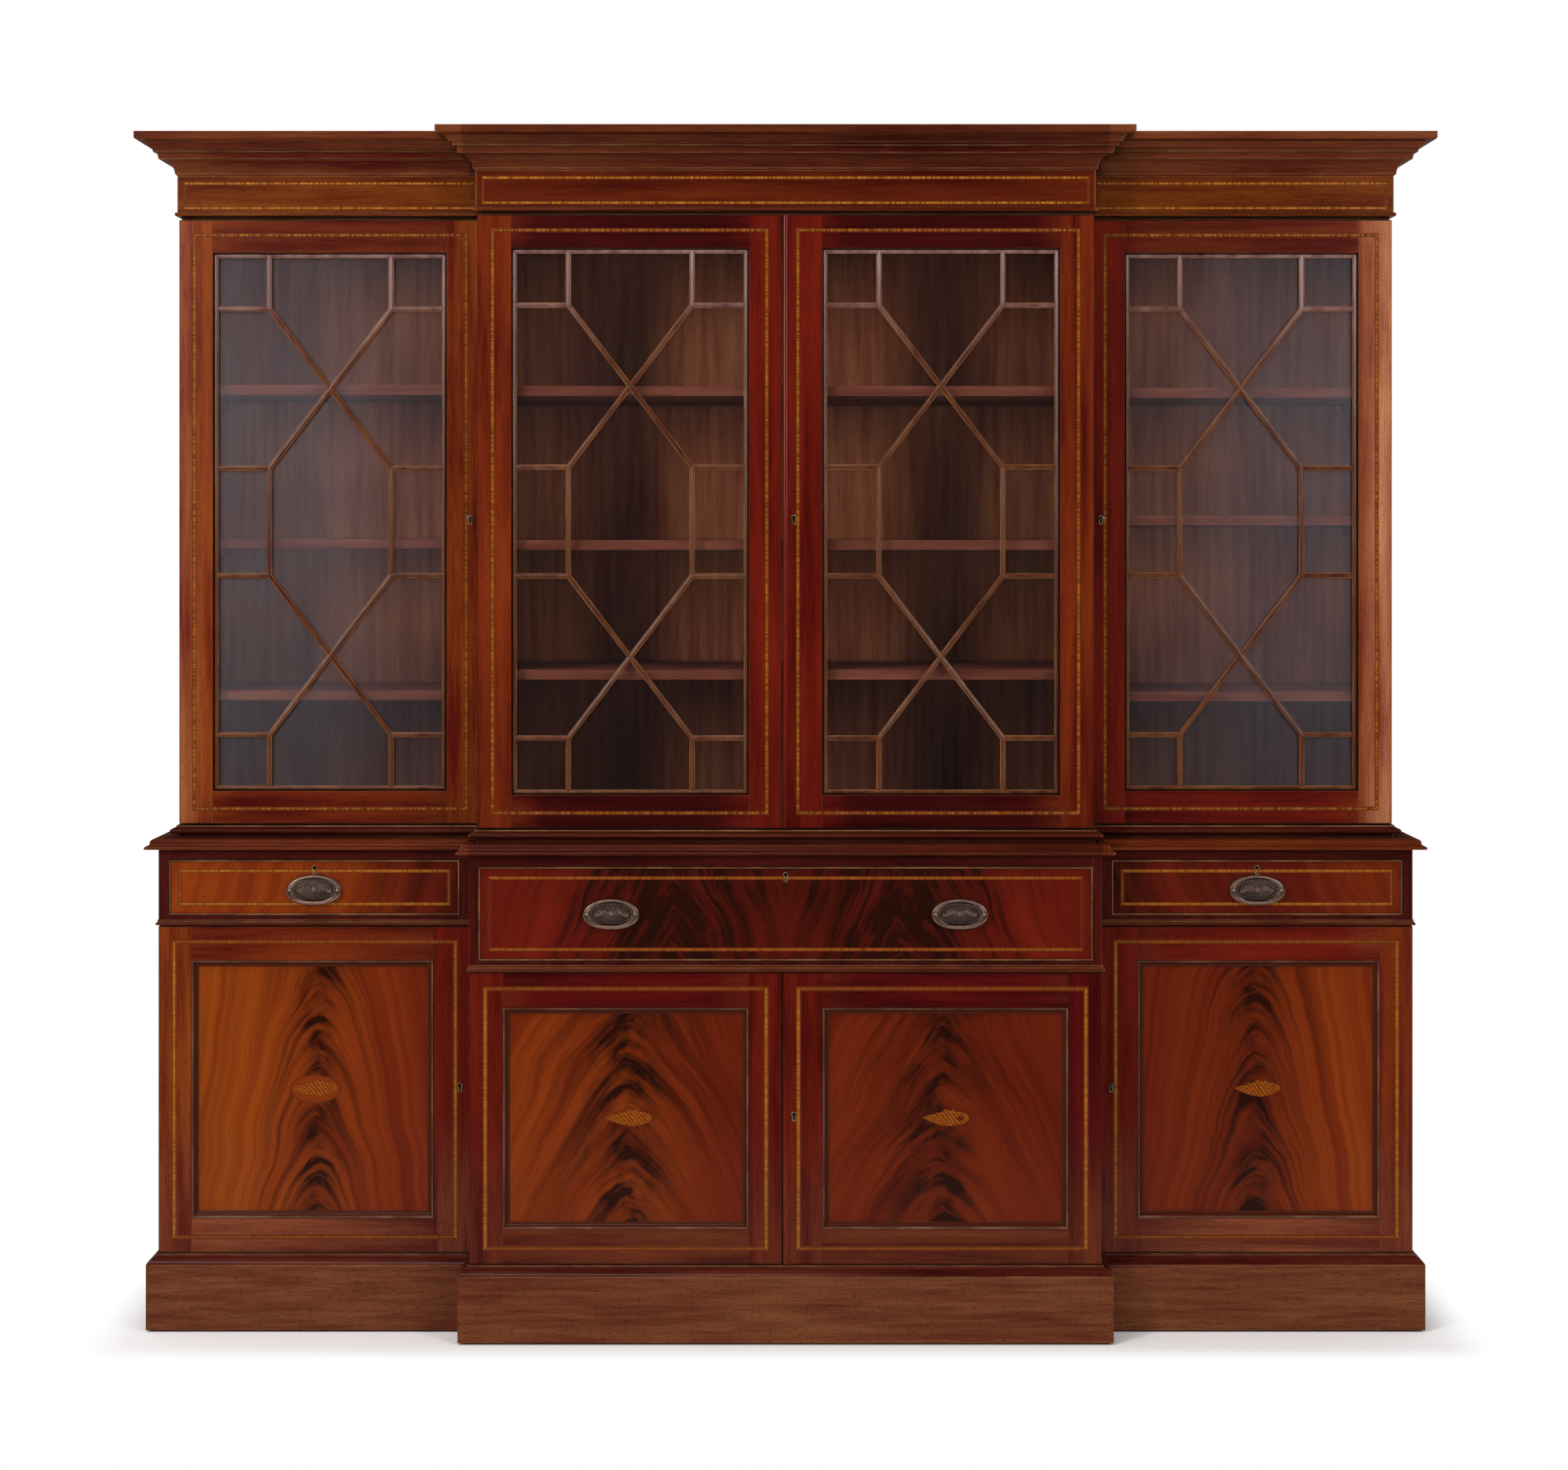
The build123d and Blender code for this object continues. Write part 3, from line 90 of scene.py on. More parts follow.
# A number that varies over the surface, with the usual sums made by Math nodes
class Field:
    def __init__(self, tree, socket):
        self.tree = tree
        self.socket = socket

    def math(self, operation, other=0, third=0):
        settings = {"operation": operation}
        links = {0: self.socket}
        for index, value in ((1, other), (2, third)):
            if isinstance(value, Field):
                links[index] = value.socket
            else:
                settings[index] = value
        return Field(self.tree, addNode(self.tree, "ShaderNodeMath", settings, links).outputs[0])

    def __add__(self, other):
        return self.math("ADD", other)

    def __sub__(self, other):
        return self.math("SUBTRACT", other)

    def __mul__(self, other):
        return self.math("MULTIPLY", other)

    def __truediv__(self, other):
        return self.math("DIVIDE", other)

    def __pow__(self, other):
        return self.math("POWER", other)

    def __abs__(self):
        return self.math("ABSOLUTE")

    def below(self, other):
        return self.math("LESS_THAN", other)

    # 0 under low, 1 over high, smooth between
    def step(self, low, high):
        settings = {"interpolation_type": "SMOOTHSTEP", "From Min": low, "From Max": high}
        node = addNode(self.tree, "ShaderNodeMapRange", settings, {"Value": self.socket})
        return Field(self.tree, node.outputs[0])

    # This where the mask is 0, the other where it is 1
    def mix(self, other, mask):
        return self + (other - self) * mask


# Noise over three fields or numbers that are already scaled
def noise(tree, x, y, z=0, detail=3, roughness=0.55):
    settings = {}
    links = {}
    for index, value in enumerate((x, y, z)):
        if isinstance(value, Field):
            links[index] = value.socket
        else:
            settings[index] = value
    place = addNode(tree, "ShaderNodeCombineXYZ", settings, links)
    grain = {"Scale": 1, "Detail": detail, "Roughness": roughness}
    return Field(tree, addNode(tree, "ShaderNodeTexNoise", grain, {"Vector": place.outputs[0]}).outputs[0])


# Noise of one scale all ways
def evenNoise(tree, place, scale, detail, roughness, seed=0):
    x, y, z = [field * scale for field in place]
    return noise(tree, x, y, z + seed if seed else z, detail, roughness)


# Colours along a field: stops are (place, colour)
def ramp(tree, field, stops):
    node = addNode(tree, "ShaderNodeValToRGB", {}, {0: field})
    elements = node.color_ramp.elements
    while len(elements) < len(stops):
        elements.new(0.5)
    for element, (place, text) in zip(elements, stops):
        element.position = place
        element.color = colour(text)
    return node.outputs[0]


# One colour over another by a mask
def over(tree, base, top, mask):
    node = addNode(tree, "ShaderNodeMix", {"data_type": "RGBA"}, {0: mask})
    for index, value in ((6, base), (7, top)):
        if isinstance(value, (str, list)):
            node.inputs[index].default_value = colour(value) if isinstance(value, str) else value
        else:
            tree.links.new(value, node.inputs[index])
    return node.outputs[2]


# A new material with its shader: returns the material, tree, shader and the three coordinates in metres
def newMaterial(name, coordinates="Object"):
    material = bpy.data.materials.new(name)
    material.use_nodes = True
    tree = material.node_tree
    shader = tree.nodes["Principled BSDF"]
    place = addNode(tree, "ShaderNodeTexCoord").outputs[coordinates]
    axes = addNode(tree, "ShaderNodeSeparateXYZ", {}, {0: place})
    return material, tree, shader, [Field(tree, socket) for socket in axes.outputs]


# Two tones of one wood, a darker and a lighter, with the given colour halfway between them
def toneRange(text, spread):
    middle = colour(text)[:3]
    dark = [c * (1 - k) for c, k in zip(middle, spread)] + [1]
    light = [c * (1 + k) for c, k in zip(middle, spread)] + [1]
    return dark, light


# Old mahogany keeps its red while its yellow comes and goes with the grain
grainSpread = (0.5, 0.85, 0.8)

# French polish: a thin clear coat that glints on the mouldings and stays quiet on the flats
polish = {
    "rough": 0.5, "coat": 0.3, "coatRough": 0.2, "specular": 0.015,
    "arris": 0.0011,        # radius of a rounded edge
    # worn also sets the painted highlight on the arrises and the painted glint on beads
    "worn": 0.35,           # how far the arrises are rubbed through
    # reach also sets how far the painted shade of a corner lies out
    "reach": 0.007,         # how far dirt lies out of a corner
}
waxPatches = {"scale": 9, "play": 0.14}
# Dirt and painted shade in corners, grooves and gaps: its dark colour and how strong it gets
cornerDirtAndShade = {"reach": 0.007, "dark": "#0c0302", "share": 0.85}
# The arris colour is rubbed-through polish with a painted highlight on it; nicks are pale scuffs
wear = {"arris": "#b4845a", "arrisScale": 14, "nick": "#b8a09a", "nickScale": 160}


# Rounds every sharp edge a little for the light, so that arrises catch a glint
def softEdge(tree, look):
    return addNode(tree, "ShaderNodeBevel", {"samples": 4, "Radius": look["arris"]}).outputs[0]


# Arrises, where the polish is rubbed through and a painted highlight lies: 1 where the rounded edge turns
# away from the piece's own face
def onArris(tree, rounded):
    face = addNode(tree, "ShaderNodeNewGeometry").outputs["Normal"]
    dot = addNode(tree, "ShaderNodeVectorMath", {"operation": "DOT_PRODUCT"}, {0: rounded, 1: face})
    return Field(tree, dot.outputs["Value"]).step(0.99, 0.90)


# Old wax and dirt together with painted shade, by ambient occlusion: 1 deep in a corner or groove
# and 0 in the open
def dirtAndShadeInCorners(tree, reach=cornerDirtAndShade["reach"]):
    node = addNode(tree, "ShaderNodeAmbientOcclusion", {"samples": 4, "Distance": reach})
    return Field(tree, node.outputs["AO"]).step(0.92, 0.35) * cornerDirtAndShade["share"]


# Sets the gloss of polished wood, a little uneven from years of wax
def polished(tree, shader, look, x, y, z):
    patches = evenNoise(tree, (x, y, z), waxPatches["scale"], 3, 0.6)
    rough = (patches - 0.5) * waxPatches["play"] + look["rough"]
    tree.links.new(rough.socket, shader.inputs["Roughness"])
    shader.inputs["Coat Weight"].default_value = look["coat"]
    shader.inputs["Coat Roughness"].default_value = look["coatRough"]
    shader.inputs["Specular IOR Level"].default_value = look["specular"]


# Scales of the grain across, along and into the wood, and how much each part counts. The look gives the
# scale of the broad bands across the wood, and "drawn" is their scale along it beside that.
grainSet = {
    "drawn": 0.06, "cloud": (6, 2.5, 6), "fibre": (700, 18, 500), "pores": (1300, 90, 900),
    "broadShare": 0.5, "cloudShare": 0.3, "fibreShare": 0.25, "relief": 0.10, "reliefDepth": 0.0003,
}


# Polished wood. Grain gives the fields across, along and into the wood. Parts gives other colours of the
# same wood with the masks where they lie, figure gives a dark shade to lay over it, and border gives the
# places of a moulded rim, of the painted shade line in the gap outside it and of the bead on it that carries
# a painted highlight.
def wood(name, look, grain, parts=None, figure=None, border=None):
    material, tree, shader, (x, y, z) = newMaterial(name)
    across, along, depth = grain(tree, x, y, z)
    seed = look.get("seed", 0)
    bands = look["bands"]

    def grown(scales, detail, roughness):
        a, b, c = [field * scale for field, scale in zip((across, along, depth), scales)]
        return noise(tree, a, b, c + seed, detail, roughness)

    broad = grown((bands, bands * grainSet["drawn"], bands), 3, 0.5)
    cloud = grown(grainSet["cloud"], 2, 0.5)
    fibre = grown(grainSet["fibre"], 2, 0.6)
    pores = grown(grainSet["pores"], 1, 0.5).step(0.58, 0.70)
    tone = (broad - 0.5) * grainSet["broadShare"] + (cloud - 0.5) * grainSet["cloudShare"]
    tone = (tone + (fibre - 0.5) * grainSet["fibreShare"]) * look["contrast"] + 0.5
    dark, light = toneRange(look["tone"], grainSpread)
    for text, mask in (parts(tree, x, y, z) if parts else []):
        otherDark, otherLight = toneRange(text, grainSpread)
        dark = over(tree, dark, otherDark, mask)
        light = over(tree, light, otherLight, mask)
    tint = over(tree, dark, light, tone.math("MINIMUM", 1).math("MAXIMUM", 0))
    if figure:
        tint = over(tree, tint, look["core"], figure(tree, x, y, z).math("MINIMUM", 1).math("MAXIMUM", 0))
    tint = over(tree, tint, look["pore"], pores * look["poreDepth"])
    polished(tree, shader, look, x, y, z)
    # Patchy share of the lighter arrises and of the bead glint: rubbed polish and painted highlight
    patches = evenNoise(tree, (x, y, z), wear["arrisScale"], 4, 0.6, seed).step(0.40, 0.66)
    wearAndGlint = (patches * 0.6 + 0.4) * look["worn"]
    if look.get("nicks"):
        nicks = evenNoise(tree, (x, y, z), wear["nickScale"], 5, 0.7).step(0.745, 0.77)
        tint = over(tree, tint, wear["nick"], nicks * look["nicks"])
    if border:
        rim, outline, bead = [band(tree, x, y, z) for band in border]
        tint = over(tree, tint, look["rim"], rim)
        # Painted highlight along the rim's bead
        tint = over(tree, tint, look["glint"], bead * wearAndGlint.math("MINIMUM", 1) * 2)
        # Painted shade line in the gap outside the rim
        tint = over(tree, tint, cornerDirtAndShade["dark"], outline * cornerDirtAndShade["share"])
        tree.links.new((rim * look["rimCoat"] + look["coat"]).socket, shader.inputs["Coat Weight"])
    edge = softEdge(tree, look)
    dirtAndShadeShare = dirtAndShadeInCorners(tree, look["reach"])
    # Lighter arrises: rubbed-through polish and painted highlight
    tint = over(tree, tint, wear["arris"], onArris(tree, edge) * wearAndGlint)
    # Darker corners and grooves: old dirt and painted shade
    tint = over(tree, tint, cornerDirtAndShade["dark"], dirtAndShadeShare)
    tree.links.new(tint, shader.inputs["Base Color"])
    relief = fibre * 0.3 - pores * 0.7
    settings = {"Strength": grainSet["relief"], "Distance": grainSet["reliefDepth"]}
    bump = addNode(tree, "ShaderNodeBump", settings, {"Height": relief, "Normal": edge})
    tree.links.new(bump.outputs[0], shader.inputs["Normal"])
    tree.links.new(edge, shader.inputs["Coat Normal"])
    return material


# Grain directions

# Upright grain
def upright(tree, x, y, z):
    return x, z, y


# Level grain along the front
def level(tree, x, y, z):
    return z, x, y


# Level grain that follows a moulding round its returns: along x on fronts, along y on side faces
def followRun(tree, x, y, z):
    normal = addNode(tree, "ShaderNodeTexCoord").outputs["Normal"]
    parts = addNode(tree, "ShaderNodeSeparateXYZ", {}, {0: normal}).outputs
    side = abs(Field(tree, parts[0])).math("GREATER_THAN", abs(Field(tree, parts[1])))
    onTop = abs(Field(tree, parts[2])).step(0.8, 0.9)
    across = z.mix(y, onTop)
    return across, x.mix(y, side), y.mix(x, side) * 0.3


# Height of the foot of the base's top rail
railFoot = 0.886


# Face frame of the base: a level rail under the top, upright stiles below it
def faceGrain(tree, x, y, z):
    rail = z.math("GREATER_THAN", railFoot)
    return x.mix(z, rail), z.mix(x, rail), y


# A frame of stiles and rails round an opening: upright beside it, level above and below it
def framed(place):
    def grain(tree, x, y, z):
        rail = abs(x - place["middle"]).below(place["half"])
        return x.mix(z, rail), z.mix(x, rail), y + rail * 0.7
    return grain


# Shades over the door frames. Pairs are where a shade starts and where it is full: across from the middle
# of the piece, or up from the floor. Shares are how strong it gets.
frameShades = {
    "railBlend": 0.07, "railLeast": 0.4,
    "jointHalf": 0.0006, "jointShare": 0.45, "jointTone": "#140504",
    # night: the painted shadow that the centre block casts on the wings beside the break
    "night": (0.95, 0.62), "nightInner": 0.6, "nightShare": 0.45,
    # foot: the painted reflection of the floor on the lower doors, in the bottom rail's tone
    "foot": (0.42, 0.18), "footShare": 0.75,
    # The next two lines: a painted sheen of daylight on the outermost stiles
    "hazeRight": (1.078, 1.14), "hazeRightShare": 0.85,
    "hazeLeft": (-1.10, -1.15), "hazeLeftShare": 0.3, "hazeFrom": 0.95,
    # A painted shade line in the gap round the frame, so wide
    "outline": 0.0013,
}


# Colours of the other stile and the two rails of a frame, with a dark hairline at each joint, a painted
# shadow at the end beside the break, where the centre block shades the wing, a painted reflection of the
# floor at the foot, a painted sheen of daylight on the outermost stiles and a painted shade line in the gap
# round the frame
def frameParts(place, tones):
    def parts(tree, x, y, z):
        s = frameShades
        half = place["half"]
        far = abs(x - place["middle"])
        rail = far.below(half)
        blend = rail * (far.step(half, half - s["railBlend"]) * (1 - s["railLeast"]) + s["railLeast"])
        upper = z.math("GREATER_THAN", place["level"])
        joint = abs(far - half).below(s["jointHalf"]) * s["jointShare"]
        right = (x - place["middle"]).step(-half, half)
        # Painted shadow of the centre block on the wing beside the break
        night = abs(x).step(*s["night"]) * abs(x).math("GREATER_THAN", s["nightInner"]) * rail
        # Painted reflection of the floor on the foot of the lower doors
        foot = z.step(*s["foot"]) * s["footShare"]
        # Painted sheen of daylight on the outermost stiles
        sheen = x.step(*s["hazeRight"]) * s["hazeRightShare"] + x.step(*s["hazeLeft"]) * s["hazeLeftShare"]
        # Painted shade in the gap round the frame
        outline = edgeBand(place["low"], place["high"], s["outline"])(tree, x, y, z)
        return [
            (tones["right"], right), (tones["bottom"], foot), (tones["bottom"], blend),
            (tones["top"], blend * upper), (mahogany["night"], night * s["nightShare"]),
            (s["jointTone"], joint), (mahogany["hazy"], sheen * z.math("GREATER_THAN", s["hazeFrom"])),
            (cornerDirtAndShade["dark"], outline * cornerDirtAndShade["share"]),
        ]
    return parts


# Where the noises of the figure turn from light to dark
figureCuts = {"broad": (0.46, 0.64), "fine": (0.42, 0.75), "blots": (0.36, 0.70), "feather": (0.42, 0.66)}


# Flame figure on the face of a board: lines fall away from an upright core in arcs, darkest near it.
# Along one line, height + fall * distance from the core ** curve stays the same.
def flame(place):
    seed = place["seed"]
    cuts = figureCuts

    def lines(tree, x, y, z):
        wander = (noise(tree, z * 7, seed, 0, 2, 0.5) - 0.5) * place["wander"]
        side = x - place["middle"]
        if place.get("pair"):
            side = abs(side) - place["pair"]
        side = side - wander
        far = abs(side)
        drift = (noise(tree, x * 4, z * 4, seed, 1, 0.5) - 0.5) * place["drift"]
        return side, far, z + (far + 0.003) ** place["curve"] * place["fall"] + drift

    def grain(tree, x, y, z):
        side, far, line = lines(tree, x, y, z)
        return line * 0.3, side, y

    def figure(tree, x, y, z):
        side, far, line = lines(tree, x, y, z)
        stroke = line * place["stroke"]
        broad = noise(tree, stroke, side * place["break"], seed + 3, 3, 0.5).step(*cuts["broad"])
        fine = noise(tree, stroke * 3, side * 7, seed + 5, 2, 0.5).step(*cuts["fine"])
        fade = ((far / place["reach"]) ** 2 * -1).math("EXPONENT")
        swell = noise(tree, z * 5, seed + 2, 0, 2, 0.5) * 1.8 + 0.1
        core = ((far / (swell * place["core"])) ** 2 * -1).math("EXPONENT")
        blots = noise(tree, z * 15, side * 18, seed + 9, 4, 0.6).step(*cuts["blots"])
        feather = noise(tree, line * 40, side * 16, seed + 12, 3, 0.6).step(*cuts["feather"])
        shade = broad * 0.5 * fade + fine * (fade * 0.16 + 0.03)
        shade = shade + core * (blots * 0.35 + feather * 0.45 + 0.12)
        return shade * y.below(place["back"]) * place["shade"]
    return grain, figure


# Where across a veneer its middle and its right tone come in, and the plain board behind it
veneerSet = {"middle": (0.05, 0.55), "right": (0.45, 0.95), "behind": "#5f2a14", "thick": 0.004}


# Colours of the middle and the right end of a veneer, and of the board behind it
def acrossVeneer(place, tones):
    def parts(tree, x, y, z):
        share = (x - place["left"]) / (place["right"] - place["left"])
        inner = y.math("GREATER_THAN", place["back"])
        middle = share.step(*veneerSet["middle"])
        right = share.step(*veneerSet["right"])
        return [(tones[0], middle), (tones[1], right), (veneerSet["behind"], inner)]
    return parts


# The bead or moulding that runs round the edge of a box, so wide
def edgeBand(low, high, width):
    def border(tree, x, y, z):
        outX = abs(x - (low.x + high.x) / 2) - ((high.x - low.x) / 2 - width)
        outZ = abs(z - (low.z + high.z) / 2) - ((high.z - low.z) / 2 - width)
        return outX.math("MAXIMUM", outZ).math("GREATER_THAN", 0)
    return border


plain = {**polish, "bands": 42, "contrast": 3.8, "poreDepth": 0.45, "pore": "#1a0503"}

# The mahoganies of the piece, from the sun-faded wings to the dark centre
mahogany = {
    # The second tone here colours the painted sheen of daylight; night also colours the painted shadow beside
    # the break
    "tawny": "#682a08", "hazy": "#94593c", "umber": "#531d08", "russet": "#591b04", "garnet": "#540e03",
    "claret": "#450503", "night": "#300303", "dusky": "#622d19", "duskyRed": "#4f1e0c",
    "amber": "#773303", "chestnut": "#6c2703", "sorrel": "#5d1b03", "oxblood": "#4a0f03",
}

# Boards of each door frame: left stile, right stile, top rail and bottom rail
doorBoards = {
    "upper_left": ("tawny", "tawny", "umber", "russet"),
    "upper_centre_left": ("russet", "garnet", "night", "night"),
    "upper_centre_right": ("garnet", "russet", "night", "night"),
    "upper_right": ("garnet", "russet", "umber", "garnet"),
    # On the lower doors the bottom tone also carries the painted reflection of the floor
    "lower_left": ("tawny", "garnet", "russet", "dusky"),
    "lower_centre_left": ("garnet", "garnet", "claret", "duskyRed"),
    "lower_centre_right": ("garnet", "claret", "claret", "duskyRed"),
    "lower_right": ("garnet", "russet", "garnet", "dusky"),
}


# Another tone on the front of the block that stands forward, within so far of the middle
def centreTone(reach, text):
    def parts(tree, x, y, z):
        return [(text, abs(x).below(reach) * y.below(0))]
    return parts


# Case work: dark mouldings and stiles, and lighter boards that show inside
mould = {**plain, "coat": 0.22, "coatRough": 0.16, "nicks": 0.6, "worn": 1.0, "reach": 0.016, "arris": 0.0018}
plinthWood = {
    **plain, "tone": "#60341e", "rough": 0.55, "coat": 0.08, "coatRough": 0.3, "bands": 110, "contrast": 2.2,
    "poreDepth": 0.7, "nicks": 0.6,
}
inside = {**plain, "rough": 0.6, "coat": 0, "contrast": 2.6, "bands": 60}
oakWood = {**inside, "tone": "#8c6639"}


# Painted shade: the boards behind the glass darken towards the foot of the upper stage. Painted highlight:
# daylight on the upper glazing bars. Pairs are the heights where a shade starts and where it is full.
backShade = {"tone": "#3c2620", "reach": (1.5, 1.0), "foot": 0.93, "share": 0.6}
upperBarHighlight = {"tone": "#86696a", "reach": (1.80, 2.05), "share": 0.5}


def lowShade(tree, x, y, z):
    dim = z.step(*backShade["reach"]) * z.math("GREATER_THAN", backShade["foot"])
    return [(backShade["tone"], dim * backShade["share"])]


# Painted highlight of daylight on the upper glazing bars
def barHighlight(tree, x, y, z):
    return [(upperBarHighlight["tone"], z.step(*upperBarHighlight["reach"]) * upperBarHighlight["share"])]


casePlan = {
    "plinth_boards": (plinthWood, followRun),
    "plinth_cap_moulding": ({**mould, "tone": "#46180e"}, followRun),
    "base_ledge": ({**mould, "tone": "#521d07", "reach": 0.006}, followRun, centreTone(0.588, "#3e1208")),
    "waist_moulding": ({**mould, "tone": "#3c140a", "reach": 0.006}, followRun),
    "mid_mouldings": ({**mould, "tone": "#44190a"}, followRun),
    # The cornice's long reach paints deeper shade between its steps
    "cornice": (
        {**mould, "tone": "#5a2a14", "bands": 26, "contrast": 4.6, "reach": 0.035},
        followRun, centreTone(0.60, "#4a1f0e"),
    ),
    "frieze": ({**mould, "tone": "#572505", "coat": 0.35}, followRun, centreTone(0.577, "#471403")),
    "base_face_frame": ({**plain, "tone": "#3a0a06"}, faceGrain),
    "base_sides": ({**plain, "tone": "#6b2a14"}, upright),
    "upper_sides": ({**plain, "tone": "#6b2a14"}, upright),
    "base_cross_boards": ({**inside, "tone": "#6e4632"}, level),
    "upper_cross_boards": ({**inside, "tone": "#70482f"}, level),
    "shelves": ({**inside, "tone": "#64392a"}, level),
    "back_boards": ({**inside, "tone": "#875234"}, upright, lowShade),
    "left_drawer_box": (oakWood, level),
    "right_drawer_box": (oakWood, level),
    "centre_drawer_box": (oakWood, level),
}


# Gives every material slot of a CAD node's object the material
def dress(name, material):
    for slot in nodes[name].material_slots:
        slot.material = material


for name, plan in casePlan.items():
    title = "".join(word.capitalize() for word in name.split("_")) + "Mahogany"
    dress(name, wood(title, *plan))


barLook = {**mould, "tone": "#502812", "nicks": 0, "coat": 0.8}
barMahogany = wood("GlazingBarMahogany", barLook, upright, barHighlight)
for index, (door, boards) in enumerate(doorBoards.items()):
    low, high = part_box(door + ("_pane" if door.startswith("upper") else "_door_panel"))
    place = {
        "middle": (low.x + high.x) / 2,
        "half": (high.x - low.x) / 2,
        "level": (low.z + high.z) / 2,
    }
    place["low"], place["high"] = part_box(door + "_door_frame")
    look = {**plain, "tone": mahogany[boards[0]], "seed": index * 3}
    named = dict(zip(("right", "top", "bottom"), [mahogany[board] for board in boards[1:]]))
    dress(door + "_door_frame", wood("FrameMahogany-" + door, look, framed(place), frameParts(place, named)))
    if door.startswith("upper"):
        dress(door + "_glazing_bars", barMahogany)
print("case and frames dressed")

# Flame veneers. The rim is the moulding or cockbead round the veneer, as wide as it says, with a painted
# highlight on its bead and a painted shade line in the gap outside. It has less coat than the veneer.

flameLook = {
    **plain, "bands": 40, "contrast": 2.0, "poreDepth": 0.3, "pore": "#3a1204", "rim": "#3e1608",
    "rimCoat": -0.12, "core": "#200702",
}
# The second width is the painted shade line in the gap; glint is the colour of the painted highlight on the
# bead
rimPlan = {
    "panel": {"width": 0.012, "outline": 0.0012, "bead": 0.0040, "glint": "#82604c"},
    "front": {"width": 0.0034, "outline": 0.0012, "bead": 0.0028, "glint": "#92683e"},
}
tall = {
    "wander": 0.05, "fall": 17, "curve": 1.9, "drift": 0.12, "stroke": 30, "break": 5, "core": 0.05,
    "shade": 1.2,
}
broadArcs = {**tall, "fall": 3.4, "curve": 1.5, "stroke": 24, "core": 0.065}
wide = {**tall, "fall": 3, "curve": 1.2, "stroke": 10, "reach": 0.25, "shade": 1.0}

# Tones at the left, middle and right, and the figure: its core stands at "middle", in metres, and a pair
# has two cores so far from there
flamePlan = {
    "lower_left_door_panel": (("amber", "chestnut", "sorrel"), {
        **tall, "middle": -0.885, "reach": 0.10, "core": 0.035, "seed": 11,
    }),
    "lower_centre_left_door_panel": (("chestnut", "chestnut", "sorrel"), {
        **broadArcs, "middle": -0.292, "reach": 0.18, "seed": 27,
    }),
    "lower_centre_right_door_panel": (("sorrel", "sorrel", "sorrel"), {
        **broadArcs, "middle": 0.289, "reach": 0.17, "seed": 41,
    }),
    "lower_right_door_panel": (("sorrel", "sorrel", "chestnut"), {
        **tall, "middle": 0.888, "reach": 0.13, "core": 0.045, "seed": 57,
    }),
    "centre_fall_front": (("garnet", "oxblood", "garnet"), {
        **tall, "middle": 0, "pair": 0.21, "fall": 3.6, "curve": 1.25, "stroke": 15, "reach": 0.26,
        "core": 0.15, "seed": 73, "shade": 1.8, "break": 8, "drift": 0.16,
    }),
    "left_drawer_front": (("chestnut", "chestnut", "oxblood"), {**wide, "middle": -0.58, "seed": 83}),
    "right_drawer_front": (("oxblood", "oxblood", "sorrel"), {**wide, "middle": 0.60, "seed": 97}),
}
for name, (boards, place) in flamePlan.items():
    low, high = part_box(name)
    rimLook = rimPlan[name.split("_")[-1]]
    rim = [edgeBand(low, high, rimLook[part]) for part in ("width", "outline", "bead")]
    back = high.y - veneerSet["thick"]
    grain, figure = flame({**place, "back": back})
    tones = [mahogany[board] for board in boards]
    parts = acrossVeneer({"left": low.x, "right": high.x, "back": back}, tones[1:])
    look = {**flameLook, "tone": tones[0], "glint": rimLook["glint"]}
    dress(name, wood("Flame-" + name, look, grain, parts, figure, rim))
print("veneers dressed")

# Brass and steel

metalSet = {
    "cloud": 180, "specks": 900, "cut": (0.35, 0.65), "wornLeast": 0.6, "play": 0.25, "relief": 0.15,
    "reliefDepth": 0.0003, "dirt": 0.6,
}
brassLook = {"bright": "#a08a68", "dull": "#584636", "rough": 0.36, "metal": 0.6}
steelLook = {"bright": "#8a847c", "dull": "#403834", "rough": 0.34, "metal": 0.7}
handleLook = {"bright": "#947666", "dull": "#170b09", "rough": 0.34, "metal": 0.6}


# Toned metal, darker in its hollows from dust and painted shade. Worn pieces carry their height in the
# piece's own UV.
def metal(name, look, worn=False):
    material, tree, shader, (x, y, z) = newMaterial(name)
    specks = evenNoise(tree, (x, y, z), metalSet["specks"], 2, 0.5)
    mask = evenNoise(tree, (x, y, z), metalSet["cloud"], 4, 0.6).step(*metalSet["cut"])
    if worn:
        place = addNode(tree, "ShaderNodeTexCoord").outputs["UV"]
        height = Field(tree, addNode(tree, "ShaderNodeSeparateXYZ", {}, {0: place}).outputs[0])
        mask = height * (mask * (1 - metalSet["wornLeast"]) + metalSet["wornLeast"])
    tint = over(tree, look["dull"], look["bright"], mask)
    # Dust and painted shade in the hollows
    tint = over(tree, tint, cornerDirtAndShade["dark"], dirtAndShadeInCorners(tree) * metalSet["dirt"])
    tree.links.new(tint, shader.inputs["Base Color"])
    shader.inputs["Metallic"].default_value = look["metal"]
    rough = (specks - 0.5) * metalSet["play"] + look["rough"]
    tree.links.new(rough.socket, shader.inputs["Roughness"])
    settings = {"Strength": metalSet["relief"], "Distance": metalSet["reliefDepth"]}
    bump = addNode(tree, "ShaderNodeBump", settings, {"Height": specks})
    tree.links.new(bump.outputs[0], shader.inputs["Normal"])
    return material


brass = metal("OldBrass", brassLook)
steel = metal("KeySteel", steelLook)
for name in nodes:
    if name.endswith("_fittings") or name in ("case_hinge_leaves", "centre_pivot_plates"):
        dress(name, brass)
    if name.endswith("_key"):
        dress(name, steel)

glassSet = {
    "tint": "#f2eeee", "rough": 0.02, "ior": 1.1, "wave": 0.12, "waveDepth": 0.001, "waveSize": 14,
    "filmRough": 0.5, "filmPlay": 0.8, "filmOuter": (0.70, 0.88), "filmLow": (2.05, 1.7),
    # Tone and share of the film of dust and painted reflection on the wing and the centre panes
    "wing": ("#969aa4", 0.066), "centre": ("#9a969c", 0.022),
}
